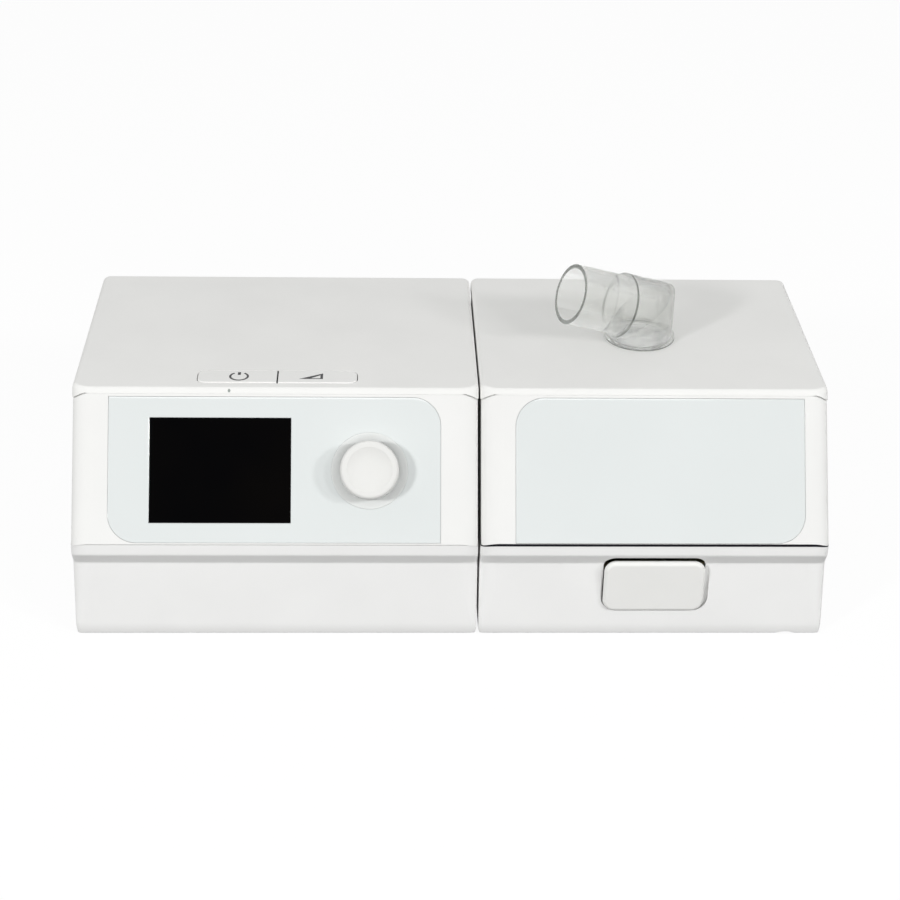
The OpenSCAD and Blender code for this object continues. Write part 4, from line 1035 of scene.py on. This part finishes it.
# An upright slab round the latch pad, grown to the left, right, downwards and upwards
def latchSlab(left, right, down, up, radius, ya, yb):
    wide, high = latch["wide"] / 2, latch["high"] / 2
    bm = slab(-wide - left, wide + right, -high - down, high + up, 0, yb - ya, radius)
    upright = Matrix.Rotation(-math.pi / 2, 4, "X") @ Matrix.Scale(-1, 4, (0, 1, 0))
    return moved(bm, at(latchX, ya, latchZ) @ upright)


def makeHumidifierBase():
    piece = baseShell("humidifier_shell", humBase[0].x, humBase[1].x, shell["hoodGap"], -1)
    carveRecesses(piece, "humidifier_feet", base["footRecess"])
    carveRecesses(piece, "humidifier_screws", base["screwRecess"])
    carveDocking(piece, humBase[0].x, docking["slideGap"])
    gap, face = latch["gap"], frontY + base["undercutDeep"] / 2
    carve(piece, latchSlab(latch["dishLeft"], latch["dishRight"], latch["dishLow"], 0, latch["dishRound"],
                           frontY - 3, face + latch["dishDeep"]))
    carve(piece, latchSlab(gap, gap, gap, latch["topGap"], latch["round"] + gap,
                           frontY - 3, frontY + latch["slotDeep"]))
    half, rise = base["archWide"] / 2, base["archHigh"]
    radius = (half * half + rise * rise) / (2 * rise)
    carve(piece, moved(roundBar(radius, 5, 256), at(
        humBase[1].x - base["archFromSide"], frontY - 2, base["bottom"] + rise - radius) @ alongY))
    addKnuckles(piece, False)
    softenEdges(piece, shell["softEdge"])
    return finishPiece(piece, "humidifier", baseWhitePaintedLight, ["humidifier_base"], 24)


def makeLatch():
    bm = latchSlab(0, 0, 0, 0, latch["round"], latchLow.y, frontY + latch["deep"])
    piece = newPiece("latch_pad", bm)
    softenEdges(piece, latch["crown"], 5, 60)
    return finishPiece(piece, "latch", latchWhite, ["latch_button"])


strip = {"outside": 0.1, "inside": 1.3, "low": 0.03, "high": 0.05}    # set in, and above the gap's edges


# Black strip of painted shade in the gap between hood and base, along the front and sides
def makeGapShade():
    bm = bmesh.new()
    low = seamZ - shell["hoodGap"] / 2 + strip["low"]
    high = seamZ + shell["hoodGap"] / 2 + strip["high"]
    outside, inside = strip["outside"], strip["inside"]
    rings = []
    for inset, z in ((outside, low), (outside, high), (inside, high), (inside, low)):
        rings.append(planRing(bm, humBase[0].x + inset, humBase[1].x - inset, frontY + inset,
                              backY - inset, z, shell["seamCorner"], inset))
    for ring in rings:
        lowerSides(ring, humBase[0].x, humBase[1].x, shell["seamSag"])
    bridgeRings(bm, rings, closed=True)
    piece = newPiece("hood_gap_shade", bm)
    carve(piece, slab(humBase[0].x - 5, humBase[1].x + 5, backY - 8, backY + 5, seamZ - 2, seamZ + 2))
    return finishPiece(piece, "humidifier", paintedGapShade)


makeGeneratorBase()
makeHumidifierBase()
makeLatch()
makeGapShade()
print("bases made")

# Elbow

elbow = {
    "tube": 11.0,          # outer radius of the hose end
    "body": 11.8,          # outer radius of the bend
    "wall": 1.6,
    "flange": 12.8,
    "flangeLow": 0.3,
    "flangeHigh": 1.5,
    "spigot": 10.5,
    "spigotBore": 9.0,
    "below": 9.0,          # depth of the spigot below the lid
    "bend": 11.1,          # height of the bend above the lid
    "rise": 19.6,          # degrees
    "turn": 18.5,
    "long": 30.3,          # bend to open end
    "hoseEnd": 20.4,
    "shoulder": 0.3,       # length of the step from the body to the hose end
    "innerShoulder": 0.4,
    "innerLow": 2.2,       # height of the inside's lower edge above the lid
    "boreTop": 1.4,
    "soft": 0.32,
    "paintedShadeThick": 0.06,      # thickness of the painted shade bands on the end, the shoulder and the foot
    "paintedShadeGap": 0.01,       # gap between those bands and the elbow
    "lipBand": (0.2, 0.15),           # in from the bore, and in from the outside
    "shoulderBand": (1.15, 0.35),     # start and end before the shoulder
    "footBand": (0.35, 0.75),         # start and end above the lid
    "steps": 128,
}


def makeElbow():
    outlet = middleOf("outlet_gasket")
    rise = math.radians(elbow["rise"])
    upright = at(outlet.x, outlet.y, lidTop) @ Matrix.Rotation(math.radians(elbow["turn"]), 4, "Z")
    knee = at(0, 0, elbow["bend"])
    along = knee @ Matrix.Rotation(rise - math.pi / 2, 4, "Y")
    bm = bmesh.new()

    # a ring on the upright part, on the mitre (where = None) or on the tube
    def ring(radius, where, onTube=False):
        place = along @ at(0, 0, where) if onTube else at(0, 0, where or 0)
        made = bmesh.ops.create_circle(bm, segments=elbow["steps"], radius=radius, matrix=place)["verts"]
        if where is None:
            for vert in made:
                vert.co.z = elbow["bend"] + vert.co.x * math.cos(rise) / (1 + math.sin(rise))
        return list({e for v in made for e in v.link_edges})

    tube, body, wall, long = elbow["tube"], elbow["body"], elbow["wall"], elbow["long"]
    shoulder = long - elbow["hoseEnd"]
    bore, inner = tube - wall, body - wall
    low, high = elbow["flangeLow"], elbow["flangeHigh"]
    rings = [
        ring(elbow["spigot"], -elbow["below"]), ring(elbow["spigot"], low),
        ring(elbow["flange"], low), ring(elbow["flange"], high), ring(body, high),
        ring(body, None),
        ring(body, shoulder - elbow["shoulder"], True), ring(tube, shoulder, True), ring(tube, long, True),
        ring(bore, long, True), ring(bore, shoulder - wall, True),
        ring(inner, shoulder - wall - elbow["innerShoulder"], True),
        ring(inner, None),
        ring(inner, elbow["innerLow"]), ring(elbow["spigotBore"], elbow["boreTop"]),
        ring(elbow["spigotBore"], -elbow["below"])]
    bridgeRings(bm, rings, closed=True)
    # edges are rounded by how sharp they are, so the mitre's rounding fades out at its sides
    weight = bm.edges.layers.float.new("bevel_weight_edge")
    bmesh.ops.recalc_face_normals(bm, faces=bm.faces)
    for edge in bm.edges:
        angle = math.degrees(edge.calc_face_angle(0))
        edge[weight] = min(max((angle - 8) / 40, 0), 1)
    moved(bm, upright)
    piece = newPiece("clear_elbow", bm)
    modifier = piece.modifiers.new("soften", "BEVEL")
    modifier.width = elbow["soft"]
    modifier.segments = 3
    modifier.limit_method = "WEIGHT"
    bake(piece)
    bm = bmesh.new()
    bm.from_mesh(piece.data)
    bmesh.ops.remove_doubles(bm, verts=bm.verts, dist=0.01)
    bm.to_mesh(piece.data)
    bm.free()
    finishPiece(piece, "elbow", clearElbow, ["outlet_elbow"], 60)
    # painted shade: grey bands drawn darker on the end of the wall, the shoulder and the foot; on the end
    # and the shoulder they stand in for light running along inside the wall
    near, far = elbow["paintedShadeGap"], elbow["paintedShadeGap"] + elbow["paintedShadeThick"]
    flange = elbow["flange"]
    fromBore, fromOutside = elbow["lipBand"]
    start, end = elbow["shoulderBand"]
    for name, place, low, high, inner, outer in (
            ("elbow_lip_shade", along, long + near, long + far, bore + fromBore, tube - fromOutside),
            ("elbow_shoulder_shade", along, shoulder - start, shoulder - end, body + near, body + far),
            ("elbow_foot", at(0, 0, 0), *elbow["footBand"], flange + near, flange + far)):
        loop = [(inner, low), (outer, low), (outer, high), (inner, high), (inner, low)]
        band = newPiece(name, moved(lathe(loop), upright @ place))
        finishPiece(band, "elbow", paintedEdgeShade)


makeElbow()
print("elbow made")

# The nodes that keep their shape: merged, softened copies of a few, and materials on the rest


def dressNode(node, body, material, soft):
    bm = bmesh.new()
    bm.from_mesh(frame["nodes"][node].data)
    bmesh.ops.scale(bm, vec=(1 / mm,) * 3, verts=bm.verts)
    bmesh.ops.remove_doubles(bm, verts=bm.verts, dist=0.002)
    piece = addMesh(node + "_skin", bm)
    softenEdges(piece, soft)
    return finishPiece(piece, body, material, [node])


bodyOf = {node: body for body, nodes in frame["record"]["behaviour"]["bodies"].items() for node in nodes}
dressed = {
    "power_jack": (partBlack, "part_black", 0.2),
    "filter_cover": (lidWhite, "lid_white", 0.2),
}
for node, (material, slot, soft) in dressed.items():
    dressNode(node, bodyOf[node], material, soft)

plain = {
    "display_module": ductGrey, "front_board": boardGreen, "encoder_body": steel,
    "encoder_plunger": ductGrey, "encoder_shaft": steel, "key_board": boardGreen,
    "key_switches": partBlack, "status_lens": lensClear, "main_board": boardGreen,
    "blower_lower": ductGrey, "blower_upper": ductGrey, "motor_housing": steel,
    "motor_stator": copperWinding, "motor_bearings": steel, "rotor_shaft": steel,
    "impeller": impellerWhite, "blower_mounts": rubberBlack, "outlet_coupling": rubberBlack,
    "outlet_spigot": shellWhitePaintedShade, "inlet_muffler": foamGrey, "air_filter": filterWhite,
    "dock_plug": partBlack, "dock_pins": steel, "generator_feet": rubberGrey,
    "generator_screws": steel, "heater_carrier": heaterTan, "heater_element": copperWinding,
    "heater_plate": heaterMetal, "tub_base_plate": heaterMetal, "tub_body": clearTub,
    "tub_gasket": rubberGrey, "tub_lid": clearTub, "air_duct": shellWhitePaintedShade, "duct_seal": rubberGrey,
    "dock_receptacle": partBlack, "latch_spring": steel, "hinge_pins": steel,
    "humidifier_feet": rubberGrey, "humidifier_screws": steel, "outlet_socket": shellWhitePaintedShade,
    "outlet_gasket": latchWhite, "elbow_o_ring": latchWhite,
}
for node, material in plain.items():
    cadMesh = frame["nodes"][node].data
    cadMesh.materials.clear()
    cadMesh.materials.append(material)
print("inner parts dressed")

# Floor, lamps and background

studio = {
    "ambient": 0.53,
    "aimHigh": 0.05,       # metres, height of the point that the lamps face
    "leftLamp": {"toward": (-0.63, -0.655, 0.417), "away": 1.5, "size": 0.17, "power": 7.8},
    "rightLamp": {"toward": (0.75, -0.5, 0.43), "away": 1.5, "size": 0.17, "power": 4.7},
    "highLamp": {"toward": (0.577, -0.647, 0.498), "away": 1.5, "size": 0.12, "power": 2.5},
    "frontLamp": {"toward": (0.0, -0.96, 0.27), "away": 1.8, "size": 0.8, "power": 4.9},
    "floorSize": 12.0,
    "floorPaper": 0.85,    # how light the floor is
    "floorShare": 0.88,    # share of plain white in what the camera sees of the floor
    "floorWhite": 1.03,
    "floorBounce": 0.14,   # how much light the floor gives back to the machine
}


def addLamp(name, lamp):
    data = bpy.data.lights.new(name, "AREA")
    data.shape = "DISK"
    data.size = lamp["size"]
    data.energy = lamp["power"]
    toward = Vector(lamp["toward"]).normalized()
    aim = Vector((0, 0, studio["aimHigh"]))
    light = addObject(name, data)
    light.matrix_world = (Matrix.Translation(toward * lamp["away"] + aim)
                          @ toward.to_track_quat("Z", "Y").to_matrix().to_4x4())


# Light Path output that is 1 for the rays that show the background: sight, mirror and glass
def showsBackground(tree):
    light = tree.nodes.new("ShaderNodeLightPath")
    total = light.outputs["Is Camera Ray"]
    for ray in ("Is Glossy Ray", "Is Transmission Ray"):
        total = calculate(tree, "MAXIMUM", total, light.outputs[ray])
    return total


def makeWorld():
    world = bpy.data.worlds.new("studio")
    bpy.context.scene.world = world
    world.use_nodes = True
    tree = world.node_tree
    ambient = tree.nodes["Background"]
    ambient.inputs["Color"].default_value = (1, 1, 1, 1)
    ambient.inputs["Strength"].default_value = studio["ambient"]
    white = tree.nodes.new("ShaderNodeBackground")
    white.inputs["Strength"].default_value = 1.0
    showBlend(tree, showsBackground(tree), ambient.outputs["Background"], white.outputs["Background"],
              "World Output")


def makeFloor():
    bm = bmesh.new()
    bmesh.ops.create_grid(bm, x_segments=2, y_segments=2, size=studio["floorSize"] / 2)
    floor = addMesh("floor", bm)
    paper, dim = [studio["floorPaper"]] * 3, [studio["floorBounce"]] * 3
    material = newMaterial("floor", paper, 0.9, Specular_IOR_Level=0.0)
    tree = material.node_tree
    light = tree.nodes.new("ShaderNodeLightPath")
    color = mixColors(tree, light.outputs["Is Diffuse Ray"], paper, dim)
    tree.links.new(color, inputOf(material, "Base Color"))
    glow = tree.nodes.new("ShaderNodeEmission")
    glow.inputs["Strength"].default_value = studio["floorWhite"]
    share = calculate(tree, "MULTIPLY", showsBackground(tree), studio["floorShare"])
    showBlend(tree, share, tree.nodes["Principled BSDF"].outputs["BSDF"], glow.outputs["Emission"])
    floor.data.materials.append(material)


bpy.context.scene.view_settings.view_transform = "Standard"
makeWorld()
makeFloor()
addLamp("left lamp", studio["leftLamp"])
addLamp("right lamp", studio["rightLamp"])
addLamp("high lamp", studio["highLamp"])
addLamp("front lamp", studio["frontLamp"])
print("studio made")
